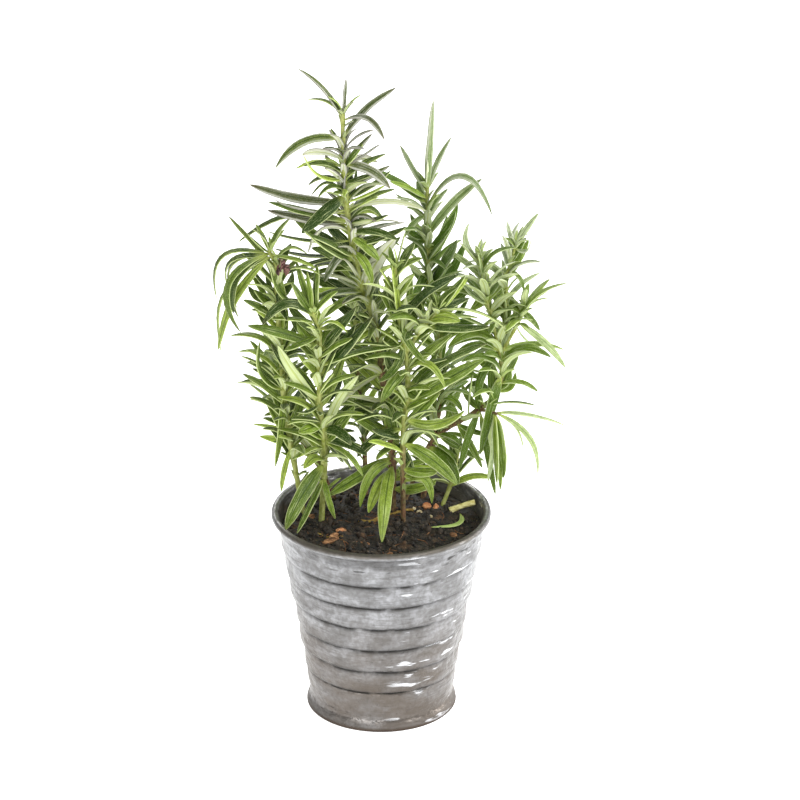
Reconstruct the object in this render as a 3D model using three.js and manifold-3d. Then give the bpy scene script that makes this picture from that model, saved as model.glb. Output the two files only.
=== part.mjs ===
// A rosemary plant in a ribbed metal pot, in millimetres.
// +Z is up, the front of the plant looks along -Y, and the origin is the centre of the
// pot's flat underside. The pot is a tapered sheet wall with rolled rim and hemmed foot,
// a pressed base disc lies on the hem, the soil fills the pot to just under the rim, and
// each leafy stem stands with a tapered foot in its own hole in the soil.

import * as THREE from 'three';
import { mergeVertices } from 'three/addons/utils/BufferGeometryUtils.js';
import Module from 'manifold-3d';

const wasm = await Module();
wasm.setup();

// Pot
const ROUND_SIDES = 32;
const RIM_RADIUS = 53.2;
const RIM_HEIGHT = 104.6;
const RIM_BEAD_RADIUS = 1.8;
const RIM_BEAD_POINTS = 7;
const RIM_BEAD_START = -105;
const RIM_BEAD_END = 175;
const WALL_FOOT_RADIUS = 35.0;
const WALL_TAPER = 0.135;
const WALL_FLARE = 0.00032;
const WALL_THICKNESS = 1.2;
const WALL_TOP = 101.8;
const WALL_BOTTOM = 6.5;
const NECK_INSET = 0.2;
const FIRST_BAND_HEIGHT = 14;
const INNER_STATIONS = [38, 70];
const INNER_TOP = 102;
const LOWEST_GROOVE = 21.6;
const GROOVE_SPACING = 12.75;
const GROOVE_COUNT = 6;
const GROOVE_DEPTH = 0.45;
const BAND_BULGE = 0.5;
const BAND_SHOULDER = { place: 0.1, bulge: 0.7 };
const BAND_MIDDLE = { place: 0.45, bulge: 1 };
const FIRST_BAND_BULGE = 0.4;
const HEM_RADIUS = 38.0;
const HEM_HEIGHT = 3.2;
const HEM_ROUNDING = 0.6;
const HEM_WAIST = { inset: 0.1, height: 1.8 };
const HEM_BLEND = 0.6;
const LIP_THICKNESS = 1.0;
const BASE_RADIUS = 32.2;
const BASE_FLANGE_RADIUS = 34.3;
const BASE_THICKNESS = 0.9;
const GAP = 0.3;

// Soil
const SOIL_BOTTOM = LIP_THICKNESS + GAP + BASE_THICKNESS + GAP;
const SOIL_EDGE_HEIGHT = 97.4;
const SOIL_CROWN = 1.6;
const SOIL_RINGS = [0, 0.24, 0.46, 0.68, 0.87, 1];
const BROAD_LUMP = { height: 0.6, x: 0.31, y: 0.27, xShift: 1.1, yShift: 0.4 };
const SMALL_LUMP = { height: 0.4, x: 0.63, y: 0.55, xShift: 2.0, yShift: 2.6 };
const LUMP_FADE = 6;
const BLANK_TOP = 100;
const BLANK_TOLERANCE = 1;

// Stems
const STEM_SIDES = 4;
const STEM_STEPS = 2;
const FINE_STEPS = 16;
const FOOT_DEPTH = 27;
const FOOT_TAPER = 0.55;
const ROOT_POINT = 3;
const BRANCH_POINT = 0.3;
const BUD_LENGTH = 1.5;
const ROUTE_TENSION = 0.5;

// Leaves
const LONG_LEAF = 26;
const LONG_STATIONS = [0.2, 0.52, 0.83];
const SHORT_STATIONS = [0.27, 0.72];
const ROOT_SUNK = 0.5;
const LEAF_RIDGE = 1.3;
const LEAF_ROOT_SHARE = 0.3;
const SWELL_END = 0.36;
const NARROW_START = 0.5;
const NARROW_POWER = 2.2;
const TIP_POWER = 0.7;
const SAMPLE_COUNT = 12;
const SAMPLE_START = 0.14;
const SAMPLE_LIFT = 0.4;
const SEARCH_MARGIN = 2;
const CLEAR_OF_OTHERS = 2.3;
const CLEAR_OF_OWN = 1.5;
const CLEAR_OF_STEM = 1.7;
const CLEAR_OF_RIM = 3.3;
const CLEAR_OF_SOIL = 1.4;
const OWN_ROOT_FREE = 0.34;
const TURNS = [0, 9, -9, 18, -18, 28, -28, 40, -40];
const TILTS = [0, 9, -9, 18, -18];
const TURN_COST = 10;
const TILT_COST = 13;

// Pairs of leaves set by rule
const FIRST_SEED = 4100;
const SEED_STEP = 17;
const QUARTER_TURN = 90;
const TURN_JITTER = 16;
const HEADING_JITTER = 30;
const RISE_JITTER = 34;
const ROLL_RANGE = 70;
const FOOT_JITTER = 2;
const HEIGHT_SLACK = 0.001;
const LENGTH_SHARES = [0.72, 1.25];
const WIDTH_SHARES = [0.8, 1.15];
const BOW_SHARES = [0.02, 0.2];
const YOUNG_TURN = 52;
const YOUNG_RISE = 18;
const YOUNG_SIZE = 0.62;
const YOUNG_WIDTH = 0.8;

// Bark chips
const CHIP_CORNERS = 7;
const CHIP_REACH = [0.8, 1.15];
const CHIP_SUNK = 0.3;

const DEGREE = Math.PI / 180;
const WELD_DISTANCE = 1e-4;
const MERGE_TOLERANCE = 0.04;

// Colours, as seen on the plant and the pot
const GALVANISED = { color: 0xc4c6c4, roughness: 0.42, metalness: 0.85 };
const PEAT = { color: 0x2a211b, roughness: 0.95, metalness: 0 };
const BARK = { color: 0x8a5a34, roughness: 0.9, metalness: 0 };
const GREY_GREEN = { color: 0x77855a, roughness: 0.6, metalness: 0 };
const FRESH_GREEN = { color: 0x64902f, roughness: 0.55, metalness: 0 };
const DEEP_GREEN = { color: 0x557a34, roughness: 0.55, metalness: 0 };
const PALE_GREEN = { color: 0x9aae6c, roughness: 0.6, metalness: 0 };

const part = new THREE.Group();
part.name = 'potted_rosemary';

// Numbers between 0 and 1 that come out alike on every run for the same seed.
function seededRandom(seed) {
  let state = seed >>> 0;
  return () => {
    state = (state + 0x6d2b79f5) >>> 0;
    let t = Math.imul(state ^ (state >>> 15), 1 | state);
    t = (t + Math.imul(t ^ (t >>> 7), 61 | t)) ^ t;
    return ((t ^ (t >>> 14)) >>> 0) / 4294967296;
  };
}

const mix = (a, b, share) => a + (b - a) * share;

// Number from -half the range to +half the range.
const jitter = (range, random) => range * (random() - 0.5);

// Closed three.js geometry with its double points merged.
function closed(geometry) {
  const bare = geometry.clone();
  bare.deleteAttribute('normal');
  bare.deleteAttribute('uv');
  return mergeVertices(bare, WELD_DISTANCE);
}

function toSolid(geometry) {
  const merged = closed(geometry);
  return new wasm.Manifold(new wasm.Mesh({
    numProp: 3,
    vertProperties: new Float32Array(merged.attributes.position.array),
    triVerts: new Uint32Array(merged.index.array),
  }));
}

function toGeometry(solid) {
  const mesh = solid.getMesh();
  const geometry = new THREE.BufferGeometry();
  geometry.setAttribute('position', new THREE.BufferAttribute(mesh.vertProperties, 3));
  geometry.setIndex(new THREE.BufferAttribute(mesh.triVerts, 1));
  geometry.computeVertexNormals();
  return geometry;
}

// Joins solids into one body. A loose scrap and a hollow sealed by the joining are left out.
function fuse(solids) {
  const joined = solids.reduce((whole, next) => whole.add(next)).simplify(MERGE_TOLERANCE);
  return joined.decompose().reduce((best, piece) => (piece.volume() > best.volume() ? piece : best));
}

function addPiece(name, geometry, finish) {
  const mesh = new THREE.Mesh(geometry, new THREE.MeshStandardMaterial(finish));
  mesh.name = name;
  part.add(mesh);
}

// Geometry from rings of points, ordered anticlockwise as seen from the far end, which close in
// a point at both ends.
function skinRings(start, rings, end) {
  const sides = rings[0].length;
  const points = [...rings.flat(), start, end];
  const last = (rings.length - 1) * sides;
  const faces = [];
  for (let side = 0; side < sides; side += 1) {
    const next = (side + 1) % sides;
    faces.push(next, side, points.length - 2, last + side, last + next, points.length - 1);
    for (let a = side, b = next; a < last; a += sides, b += sides) {
      faces.push(a, b, b + sides, a, b + sides, a + sides);
    }
  }
  const geometry = new THREE.BufferGeometry().setFromPoints(points);
  geometry.setIndex(faces);
  return geometry;
}

// Pot wall

const wallRadius = (z) => WALL_FOOT_RADIUS + WALL_TAPER * z + WALL_FLARE * z * z;
const innerRadius = (z) => wallRadius(z) - WALL_THICKNESS;

function wallGeometry() {
  const at = (radius, z) => new THREE.Vector2(radius, z);
  const lipRadius = BASE_RADIUS + GAP;
  const profile = [
    at(lipRadius, 0),
    at(HEM_RADIUS - HEM_ROUNDING, 0),
    at(HEM_RADIUS, HEM_ROUNDING),
    at(HEM_RADIUS - HEM_WAIST.inset, HEM_WAIST.height),
    at(mix(HEM_RADIUS, wallRadius(WALL_BOTTOM), HEM_BLEND), HEM_HEIGHT),
    at(wallRadius(WALL_BOTTOM), WALL_BOTTOM),
    at(wallRadius(FIRST_BAND_HEIGHT) + FIRST_BAND_BULGE * BAND_BULGE, FIRST_BAND_HEIGHT),
  ];
  // Each band bulges, rolls in sharply at its lower edge and fades out at its upper edge.
  for (let groove = 0; groove < GROOVE_COUNT; groove += 1) {
    const z = LOWEST_GROOVE + groove * GROOVE_SPACING;
    profile.push(at(wallRadius(z) - GROOVE_DEPTH, z));
    for (const { place, bulge } of [BAND_SHOULDER, BAND_MIDDLE]) {
      const height = z + place * GROOVE_SPACING;
      profile.push(at(wallRadius(height) + bulge * BAND_BULGE, height));
    }
  }
  profile.push(at(wallRadius(WALL_TOP) - NECK_INSET, WALL_TOP));
  for (let point = 0; point < RIM_BEAD_POINTS; point += 1) {
    const angle = mix(RIM_BEAD_START, RIM_BEAD_END, point / (RIM_BEAD_POINTS - 1)) * DEGREE;
    profile.push(at(RIM_RADIUS + RIM_BEAD_RADIUS * Math.cos(angle),
      RIM_HEIGHT + RIM_BEAD_RADIUS * Math.sin(angle)));
  }
  const downward = [WALL_BOTTOM, ...INNER_STATIONS, INNER_TOP].reverse();
  for (const z of downward) profile.push(at(innerRadius(z), z));
  profile.push(at(innerRadius(WALL_BOTTOM), LIP_THICKNESS));
  profile.push(at(lipRadius, LIP_THICKNESS));
  profile.push(at(lipRadius, 0));
  return new THREE.LatheGeometry(profile, ROUND_SIDES).rotateX(Math.PI / 2);
}

// Pressed disc: its middle lies flush with the foot, its flange rests on the hem's lip.
function baseGeometry() {
  const flange = LIP_THICKNESS + GAP;
  const profile = [
    [0, 0], [BASE_RADIUS, 0], [BASE_RADIUS, flange], [BASE_FLANGE_RADIUS, flange],
    [BASE_FLANGE_RADIUS, flange + BASE_THICKNESS], [0, flange + BASE_THICKNESS],
  ];
  const points = profile.map(([radius, z]) => new THREE.Vector2(radius, z));
  return new THREE.LatheGeometry(points, ROUND_SIDES).rotateX(Math.PI / 2);
}

// Soil: follows the inner wall, with a lumpy surface that rises a little to the middle.

function soilHeight(x, y) {
  const share = Math.min(1, Math.hypot(x, y) / innerRadius(SOIL_EDGE_HEIGHT));
  const crown = SOIL_CROWN * (1 - share * share);
  let lumps = 0;
  for (const lump of [BROAD_LUMP, SMALL_LUMP]) {
    lumps += lump.height * Math.sin(lump.x * x + lump.xShift) * Math.sin(lump.y * y + lump.yShift);
  }
  return SOIL_EDGE_HEIGHT + crown + lumps * (1 - share ** LUMP_FADE);
}

// Turned flat-topped first; then each point of the flat top moves to the height of the soil there.
function soilGeometry(raise) {
  const radius = innerRadius(SOIL_EDGE_HEIGHT) - GAP;
  const profile = [new THREE.Vector2(0, SOIL_BOTTOM + raise)];
  for (const z of [SOIL_BOTTOM, WALL_BOTTOM, ...INNER_STATIONS]) {
    profile.push(new THREE.Vector2(innerRadius(Math.max(z, WALL_BOTTOM)) - GAP, z + raise));
  }
  const inward = [...SOIL_RINGS].reverse();
  for (const share of inward) profile.push(new THREE.Vector2(radius * share, BLANK_TOP));
  const geometry = closed(new THREE.LatheGeometry(profile, ROUND_SIDES).rotateX(Math.PI / 2));
  const places = geometry.attributes.position;
  for (let i = 0; i < places.count; i += 1) {
    if (places.getZ(i) < BLANK_TOP - BLANK_TOLERANCE) continue;
    places.setZ(i, soilHeight(places.getX(i), places.getY(i)) + raise);
  }
  return geometry;
}

// Stem: square in section as young rosemary stems are, along a smooth route, thinning to its tip.

const routeCurve = (route) => new THREE.CatmullRomCurve3(
  route.map(([x, y, z]) => new THREE.Vector3(x, y, z)), false, 'catmullrom', ROUTE_TENSION);

const routePoints = (route, steps) => routeCurve(route).getPoints((route.length - 1) * steps);

// Point of a stem at a height, on the polyline of its route.
function pointAtHeight(line, z) {
  for (let i = 1; i < line.length; i += 1) {
    if (line[i].z >= z || i === line.length - 1) {
      const share = (z - line[i - 1].z) / (line[i].z - line[i - 1].z);
      return line[i - 1].clone().lerp(line[i], Math.min(1, Math.max(0, share)));
    }
  }
  return line[0].clone();
}

// With a grow value the stem is swollen by it on all sides, which makes the cutter of its hole.
function stemGeometry(stem, grow = 0) {
  const spine = routePoints(stem.route, STEM_STEPS);
  const radii = spine.map((point, i) => mix(stem.radius[0], stem.radius[1], i / (spine.length - 1)));
  if (stem.rooted) {
    const { x, y, z } = spine[0];
    spine.unshift(new THREE.Vector3(x, y, z - 0.5 * FOOT_DEPTH));
    radii.unshift(mix(1, FOOT_TAPER, 0.5) * stem.radius[0]);
    spine.unshift(new THREE.Vector3(x, y, z - FOOT_DEPTH));
    radii.unshift(FOOT_TAPER * stem.radius[0]);
  }
  const rings = spine.map((point, i) => {
    const ahead = spine[Math.min(i + 1, spine.length - 1)];
    const behind = spine[Math.max(i - 1, 0)];
    const along = ahead.clone().sub(behind).normalize();
    const side = new THREE.Vector3(1, 0, 0).addScaledVector(along, -along.x).normalize();
    const other = along.clone().cross(side);
    return Array.from({ length: STEM_SIDES }, (_, k) => {
      const angle = (2 * Math.PI * k) / STEM_SIDES;
      return point.clone()
        .addScaledVector(side, (radii[i] + grow) * Math.cos(angle))
        .addScaledVector(other, (radii[i] + grow) * Math.sin(angle));
    });
  });
  const pointed = (end, before, reach) => end.clone()
    .add(end.clone().sub(before).setLength(reach + grow));
  const start = pointed(spine[0], spine[1], stem.rooted ? ROOT_POINT : BRANCH_POINT);
  const tip = pointed(spine[spine.length - 1], spine[spine.length - 2], BUD_LENGTH);
  return skinRings(start, rings, tip);
}

// Leaf: a centre line from its foot in the stem, which bows upward and may sway to one side, and a
// width that swells and then narrows.

const leafFrame = (leaf, t) => {
  const { foot, along, bow, roll, sway = 0 } = leaf;
  const length = along.length();
  const lift = new THREE.Vector3(0, 0, 1).addScaledVector(along, -along.z / (length * length)).normalize();
  const level = along.clone().cross(new THREE.Vector3(0, 0, 1)).normalize();
  const middle = along.clone().multiplyScalar(0.5)
    .addScaledVector(lift, 2 * bow).addScaledVector(level, 2 * sway);
  const centre = foot.clone().addScaledVector(middle, 2 * t * (1 - t)).addScaledVector(along, t * t);
  const heading = middle.clone().multiplyScalar(2 - 4 * t).addScaledVector(along, 2 * t).normalize();
  level.addScaledVector(heading, -level.dot(heading)).normalize();
  const across = level.clone().multiplyScalar(Math.cos(roll))
    .addScaledVector(heading.clone().cross(level), Math.sin(roll));
  return { centre, across, up: across.clone().cross(heading) };
};

function widthShare(t) {
  const opened = Math.sin(0.5 * Math.PI * Math.min(1, t / SWELL_END));
  const closing = Math.max(0, (t - NARROW_START) / (1 - NARROW_START));
  return mix(LEAF_ROOT_SHARE, 1, opened) * (1 - closing ** NARROW_POWER) ** TIP_POWER;
}

function leafGeometry(leaf) {
  const stations = leaf.stations ?? (leaf.along.length() > LONG_LEAF ? LONG_STATIONS : SHORT_STATIONS);
  const rings = stations.map((t) => {
    const { centre, across, up } = leafFrame(leaf, t);
    const half = 0.5 * leaf.width * widthShare(t);
    const ridge = LEAF_RIDGE * Math.sqrt(widthShare(t));
    return [
      centre.clone().addScaledVector(up, ridge),
      centre.clone().addScaledVector(across, half),
      centre.clone().addScaledVector(across, -half),
    ];
  });
  const inward = leafFrame(leaf, stations[0]).centre.sub(leaf.foot).setLength(-ROOT_SUNK);
  return skinRings(leaf.foot.clone().add(inward), rings, leafFrame(leaf, 1).centre);
}

// Points that stand for a leaf when it is kept clear of the rest: three across, along its length.
function leafSamples(leaf) {
  const points = [];
  for (let i = 0; i < SAMPLE_COUNT; i += 1) {
    const t = mix(SAMPLE_START, 1, i / (SAMPLE_COUNT - 1));
    const { centre, across, up } = leafFrame(leaf, t);
    const half = 0.5 * leaf.width * widthShare(t);
    centre.addScaledVector(up, SAMPLE_LIFT * LEAF_RIDGE);
    for (const side of [-1, 0, 1]) {
      points.push({ at: centre.clone().addScaledVector(across, side * half), t });
    }
  }
  return points;
}

// The same leaf turned about the upright line through its foot and tilted up or down.
function turnedLeaf(leaf, turn, tilt) {
  const flat = Math.hypot(leaf.along.x, leaf.along.y);
  const heading = Math.atan2(leaf.along.y, leaf.along.x) + turn;
  const reach = flat * Math.cos(tilt) - leaf.along.z * Math.sin(tilt);
  const rise = leaf.along.z * Math.cos(tilt) + flat * Math.sin(tilt);
  const along = new THREE.Vector3(reach * Math.cos(heading), reach * Math.sin(heading), rise);
  return { ...leaf, along };
}

// Room left between a leaf and all that stands already: below 0 it touches another piece.
function roomAround(samples, node, placed, stems) {
  let others = Infinity;
  let own = Infinity;
  for (const { at, t } of samples) {
    const reach = Math.hypot(at.x, at.y);
    others = Math.min(others, Math.hypot(reach - RIM_RADIUS, at.z - RIM_HEIGHT) - CLEAR_OF_RIM);
    if (at.z < RIM_HEIGHT && reach < RIM_RADIUS + CLEAR_OF_RIM) {
      others = Math.min(others, RIM_RADIUS - CLEAR_OF_RIM - reach);
      others = Math.min(others, at.z - soilHeight(at.x, at.y) - CLEAR_OF_SOIL);
    }
    for (const stem of stems) {
      if (stem.node === node) continue;
      for (const point of stem.line) {
        others = Math.min(others, at.distanceTo(point) - stem.radius[0] - CLEAR_OF_STEM);
      }
    }
    for (const leaf of placed) {
      if (leaf.centre.distanceTo(at) > leaf.reach + CLEAR_OF_OTHERS + SEARCH_MARGIN) continue;
      for (const sample of leaf.samples) {
        const distance = at.distanceTo(sample.at);
        const bothBeyondRoot = t > OWN_ROOT_FREE && sample.t > OWN_ROOT_FREE;
        if (leaf.node !== node) others = Math.min(others, distance - CLEAR_OF_OTHERS);
        else if (bothBeyondRoot) own = Math.min(own, distance - CLEAR_OF_OWN);
      }
    }
  }
  return { others, own };
}

// Turns and tilts in degrees, tried from the smallest to the largest until a leaf is clear.
const BENDS = TILTS.flatMap((tilt) => TURNS.map((turn) => [turn, tilt]));
const effort = ([turn, tilt]) => TURN_COST * Math.abs(turn) + TILT_COST * Math.abs(tilt);
BENDS.sort((a, b) => effort(a) - effort(b));

// Places a leaf at the first bend that is clear, or at the one with most room in its own stem.
// A leaf that can't be bent clear of the other pieces isn't placed.
function placeLeaf(leaf, node, placed, stems) {
  let best = null;
  for (const [turn, tilt] of BENDS) {
    const candidate = turnedLeaf(leaf, turn * DEGREE, tilt * DEGREE);
    const samples = leafSamples(candidate);
    const { others, own } = roomAround(samples, node, placed, stems);
    if (others > 0 && (!best || own > best.own)) best = { leaf: candidate, samples, own };
    if (best && best.own > 0) break;
  }
  if (!best) return false;
  const centre = best.samples.reduce((sum, { at }) => sum.add(at), new THREE.Vector3())
    .divideScalar(best.samples.length);
  const reach = Math.max(...best.samples.map(({ at }) => at.distanceTo(centre)));
  placed.push({ node, leaf: best.leaf, samples: best.samples, centre, reach });
  return true;
}

// Plant

// Each stem: its route from the soil to the tip, its radius at both ends, the leaves that give the
// plant its outline, and the rule for the pairs that fill the rest. A leaf's row holds the height of
// its foot, how far its tip lies to the right, to the back and up, how far its middle bows out of the
// straight line, its width, and by how many degrees its upper face turns to the front.
// A rule holds the height of the first and last pair, their spacing, the leaf length, the rise in
// degrees and the width at both ends, the heading of the first pair and whether young leaves stand by.
const STEMS = [
  {
    node: 'stem_main', finish: GREY_GREEN, rooted: true, radius: [1.6, 1],
    route: [[6, 15, 97], [5, 12, 139], [1, 9, 173], [-3, 5, 204], [-10, 2, 228], [-14, 0, 250],
      [-17, -1, 274], [-18, -2, 298], [-18, -2, 316]],
    leaves: [
      [313, -21, -4, 27, 2, 3.8, 35], [315, 1, 2, 18, 0, 2.6, 80], [303, 25, 3, 26, 3, 4, 40],
      [312, 22, -8, -5, 6, 3.6, 20], [315, -17, 6, 6, 3, 2.6, 10], [303, -32, -8, -12, 6, 5, 40],
      [292, -20, 4, 1, 3, 4.6, -60], [288, -24, 6, -1, 3, 3, 10], [282, -21, -8, 17, -5, 3.4, 20],
      [276, -15, 9, 11, 4, 3.4, 20], [274, -21, -14, -14, 1, 6.4, 45], [270, -47, 5, 7, -1, 5, 50],
      [266, -34, -10, 11, -4, 3.2, 10], [260, -39, -4, 8, -1, 5, 40], [264, -55, 12, -18, 7, 4, 20],
      [290, 14, 7, 13, 0, 3, 20], [288, 18, -4, 13, 0, 2.6, 0], [290, 16, 8, -1, 2, 4.6, -60],
      [290, 23, -6, -10, 4, 5.4, 40], [282, 6, 3, 20, -1, 3.6, 80], [276, 22, 5, 11, 0, 3.6, 20],
      [270, 19, -2, 10, -1, 2.8, 5], [266, 38, 6, -3, 5, 5.2, -50], [252, 26, 8, 5, 1, 4, 10],
      [248, 25, -6, 12, -2, 4.4, 30], [254, -21, -8, -7, 8, 4.4, -40], [248, -14, -7, -17, 2, 4.4, 40],
      [252, 15, -7, -7, 1, 5, 40], [222, 16, -4, 30, 2, 7.4, -80], [202, -26, -8, -10, 0, 4.6, 40],
      [206, -19, -10, -16, 3, 5.4, 50], [192, -27, 5, -12, 0, 4.4, 20], [189, 9, -9, 5, 2, 4, 10],
      [157, -39, -12, 7, 1, 3.4, 0], [176, -25, -8, -13, 2, 6, -50], [235, -25, 8, -3, 3, 4.2, 20],
      [232, 18, 9, 3, -2, 3.6, 20], [139, -20, -9, 19, 0, 6.4, 45], [124, -5, -42, -22, 5, 6.6, 10],
      [129, -32, -18, -13, 1, 6.4, 35], [122, -12, -22, -14, 3, 6, 20], [218, -21, -12, -5, 4, 4.4, 30],
      [224, -16, 7, 11, -2, 4.4, 30], [244, 9, -10, -13, 3, 4.4, 40], [258, 13, -9, 5, 4, 3.2, 20],
      [139, 10, -10, -17, 2, 4.6, 30], [126, -12, -14, -23, 9, 5, 60], [115, 23, 4, 4, 3, 5.6, 45],
      [111, 22, -6, 7, -2, 5.6, 45], [118, 20, 10, 3, 1, 4.6, 30], [139, -15, 4, -10, 2, 3, 30],
      [165, 9, -10, -23, -1, 6, 50], [159, 11, -8, 0, 1, 2.6, 10], [224, -25, 6, 19, 2, 5.6, 40],
      [218, -35, -6, 5, 4, 3.4, 30], [208, 8, 10, 18, -3, 5, 60], [189, -10, 12, 26, -1, 5, 50],
      [165, -20, 12, 17, 1, 5.4, 40], [145, 17, 14, 18, 3, 5, 40], [226, -22, 9, 22, -2, 4.6, 55],
      [218, -17, 5, 20, -3, 4.2, 50], [213, -26, -9, -19, 2, 3, 20], [222, -30, -7, -1, 3, 4.4, 30],
      [272, 4, 4, 17, -1, 3.4, 75], [268, 6, 6, 17, -1, 3, 70], [248, 2, 5, 15, 0, 4.8, 75],
      [244, -14, 6, 13, 0, 5, 60], [260, 17, 8, -2, 5, 2.6, 20], [162, 13, -8, 18, 0, 4.6, 45],
      [159, -28, -4, -19, 8, 4.6, 40], [148, -25, -5, 3, 4, 3.6, 30], [162, 7, -3, -18, 3, 3, 30],
    ],
    rule: {
      from: 134, to: 294, spacing: 20, length: [32, 20], rise: [26, 44], width: [5.4, 3.8], first: 70,
      young: true,
    },
  },
  {
    node: 'stem_left', finish: FRESH_GREEN, rooted: true, radius: [1.5, 0.8],
    route: [[-30, 4, 97], [-28, -4, 141], [-30, -8, 163], [-30, -10, 177], [-30, -12, 195],
      [-30, -14, 208], [-33, -15, 219]],
    leaves: [
      [215, -26, -8, 0, 9, 5.4, 45], [199, -35, -4, 13, 1, 5.4, 45], [212, -21, 8, 0, 2, 3.4, 10],
      [168, -20, -6, 33, -1, 5.4, -70], [164, -23, 4, 35, -1, 5.6, 60], [167, -11, -10, 0, -2, 2.6, 0],
      [196, 17, -4, 26, -1, 4.4, 60], [183, 27, -8, 35, 0, 5.6, 60], [188, 38, -12, 16, 2, 4.2, 25],
      [146, -17, -5, 13, 0, 4.4, 35], [141, -16, -6, -3, 1, 3.6, 10], [156, -11, -12, 1, -1, 5.4, 40],
      [146, 17, -4, 38, 3, 5, -60], [132, -19, -26, -24, 3, 7.2, 40], [124, -17, -24, -18, -1, 3.4, 10],
      [124, 5, -14, -18, 0, 3.2, 10], [219, -2, 3, 20, -1, 3.4, 70], [217, 12, -4, 14, 1, 4, 40],
      [206, -17, -8, -4, -1, 4, 20], [152, 14, -10, -4, 3, 5.6, 40], [144, 13, -8, 22, -1, 6, 55],
      [141, -13, -6, -1, 2, 2.8, 10], [144, 20, -10, -13, 4, 3.2, 20], [164, 12, 8, 28, -2, 4.6, 40],
      [186, -14, 10, 16, 2, 4.4, 30], [216, -12, 8, 25, 0, 3.6, 60], [214, -6, 6, 26, 1, 4.8, 60],
      [219, -20, -5, 22, -6, 3.2, 30], [196, -11, 4, 14, 0, 4.8, 55], [197, -9, -3, 18, 4, 2.4, 20],
      [209, 15, -4, 1, 5, 2.6, 10], [177, 8, -6, 21, 0, 3, 50],
    ],
    rule: {
      from: 132, to: 206, spacing: 20, length: [31, 22], rise: [30, 48], width: [5.2, 4.4], first: 80,
      young: true,
    },
  },
  {
    node: 'stem_far_left', finish: FRESH_GREEN, rooted: true, radius: [1.4, 0.8],
    route: [[-39, 10, 98], [-46, 2, 149], [-48, -1, 171], [-49, -3, 194], [-51, -5, 221], [-51, -6, 239],
      [-54, -7, 247]],
    leaves: [
      [246, -14, -12, -36, 18, 3.6, 30], [245, -28, -4, -49, 5, 4.6, 50], [244, -30, 4, -52, 10, 3.2, 20],
      [247, -6, 4, 13, 0, 2.4, 20], [247, -8, -4, 13, 2, 2.4, 20], [247, 11, 3, 16, 2, 3.2, 20],
      [245, 22, -6, -3, 1, 3.2, 10], [238, -23, 14, 22, -1, 2.8, 20], [241, 16, 6, 3, 5, 3, 0],
      [231, 23, -8, 8, 5, 3, 10], [237, 7, -7, -15, -1, 4.4, 50], [213, -11, -2, 14, 0, 4.6, 50],
      [215, -12, 5, 18, -1, 3.2, 20], [171, -11, -6, 29, -7, 4, 40], [169, -4, -6, -37, 0, 4.4, 70],
      [198, -11, 7, 16, -2, 2.8, 10], [226, 4, -9, 18, -2, 3.2, 10], [188, 17, -8, 3, 5, 3.6, 20],
      [138, -5, -6, -21, 1, 3, 20], [225, -12, 4, 12, -2, 2.4, 20], [219, -5, 5, 15, -1, 3, 60],
    ],
    rule: {
      from: 128, to: 234, spacing: 20, length: [30, 20], rise: [32, 45], width: [5, 3.8], first: 95,
      young: true,
    },
  },
  {
    node: 'stem_centre_right', finish: FRESH_GREEN, rooted: true, radius: [1.3, 0.8],
    route: [[11, 2, 98], [11, 0, 148], [13, -2, 166], [13, -4, 186], [10, -5, 205], [8, -6, 221],
      [7, -7, 239]],
    leaves: [
      [231, 13, -4, 14, 3, 4, 30], [209, -3, -4, 32, 0, 5.2, 80], [209, 28, -5, 28, 2, 5, 50],
      [224, -9, -4, 15, 0, 3.6, 30], [212, 13, -12, -19, -3, 3.8, 30], [169, 39, 2, 28, 3, 4.4, 40],
      [165, 38, -4, 25, 1, 6.8, 55], [183, 18, -14, -3, 8, 4.2, 20], [184, -13, -12, -13, 2, 5.2, 50],
      [174, 7, -14, 4, -4, 5, 40], [161, 12, -10, 9, 1, 4.8, 35], [156, 29, -6, 7, -5, 5.4, 45],
      [142, 27, -12, -17, 2, 6.6, 45], [128, 17, -8, 3, -2, 5.4, 40], [218, 15, 8, 4, 1, 3.8, 20],
      [234, 7, 6, 13, -1, 3, 30], [237, -3, 2, 12, 0, 3, 40], [199, -10, -10, 5, -3, 3.6, 20],
      [145, -15, -9, 9, -1, 4.4, 30], [174, 14, 8, 15, -2, 4.2, 30], [196, 0, -6, 29, 0, 5, 60],
      [183, 22, 8, 16, 2, 4.8, 40], [150, 16, 8, 19, 1, 5.2, 40], [168, -10, 6, 26, -2, 4.8, 50],
      [120, 15, -8, -5, 10, 4.6, 40], [124, 16, 6, 3, 1, 4.8, 40], [199, -10, -7, -20, -4, 4.2, 40],
      [194, -26, -9, 4, 2, 2.6, 10], [199, 2, 4, 32, -1, 4.8, 70],
    ],
    rule: { from: 136, to: 228, spacing: 21, length: [32, 22], rise: [28, 48], width: [5.4, 4.2], first: 60 },
    branches: [
      {
        radius: [0.9, 0.6], route: [[13, -4, 193], [18, -6, 203], [23, -7, 210], [28, -8, 216]],
        leaves: [
          [216, 13, 2, 18, 0, 4.2, 40], [216, 33, -6, -7, 5, 4.2, -30], [211, 15, -6, 2, 2, 6.2, 50],
          [208, 32, 2, -1, -2, 4.8, 35], [216, 10, 6, 19, 0, 3.2, 60], [216, -8, 4, 10, 1, 3.4, 30],
          [210, 1, -5, 16, 1, 3, 40], [216, 7, -5, 17, 2, 3, 60],
        ],
        rule: {
          from: 201, to: 214, spacing: 6, length: [20, 15], rise: [20, 40], width: [3.8, 3.4], first: 75,
        },
      },
    ],
  },
  {
    node: 'stem_back_right', finish: PALE_GREEN, rooted: true, radius: [1.4, 0.8],
    route: [[21, 30, 98], [28, 38, 138], [30, 42, 153], [28, 47, 184], [24, 51, 209], [23, 53, 227],
      [23, 54, 242], [23, 55, 257]],
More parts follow.
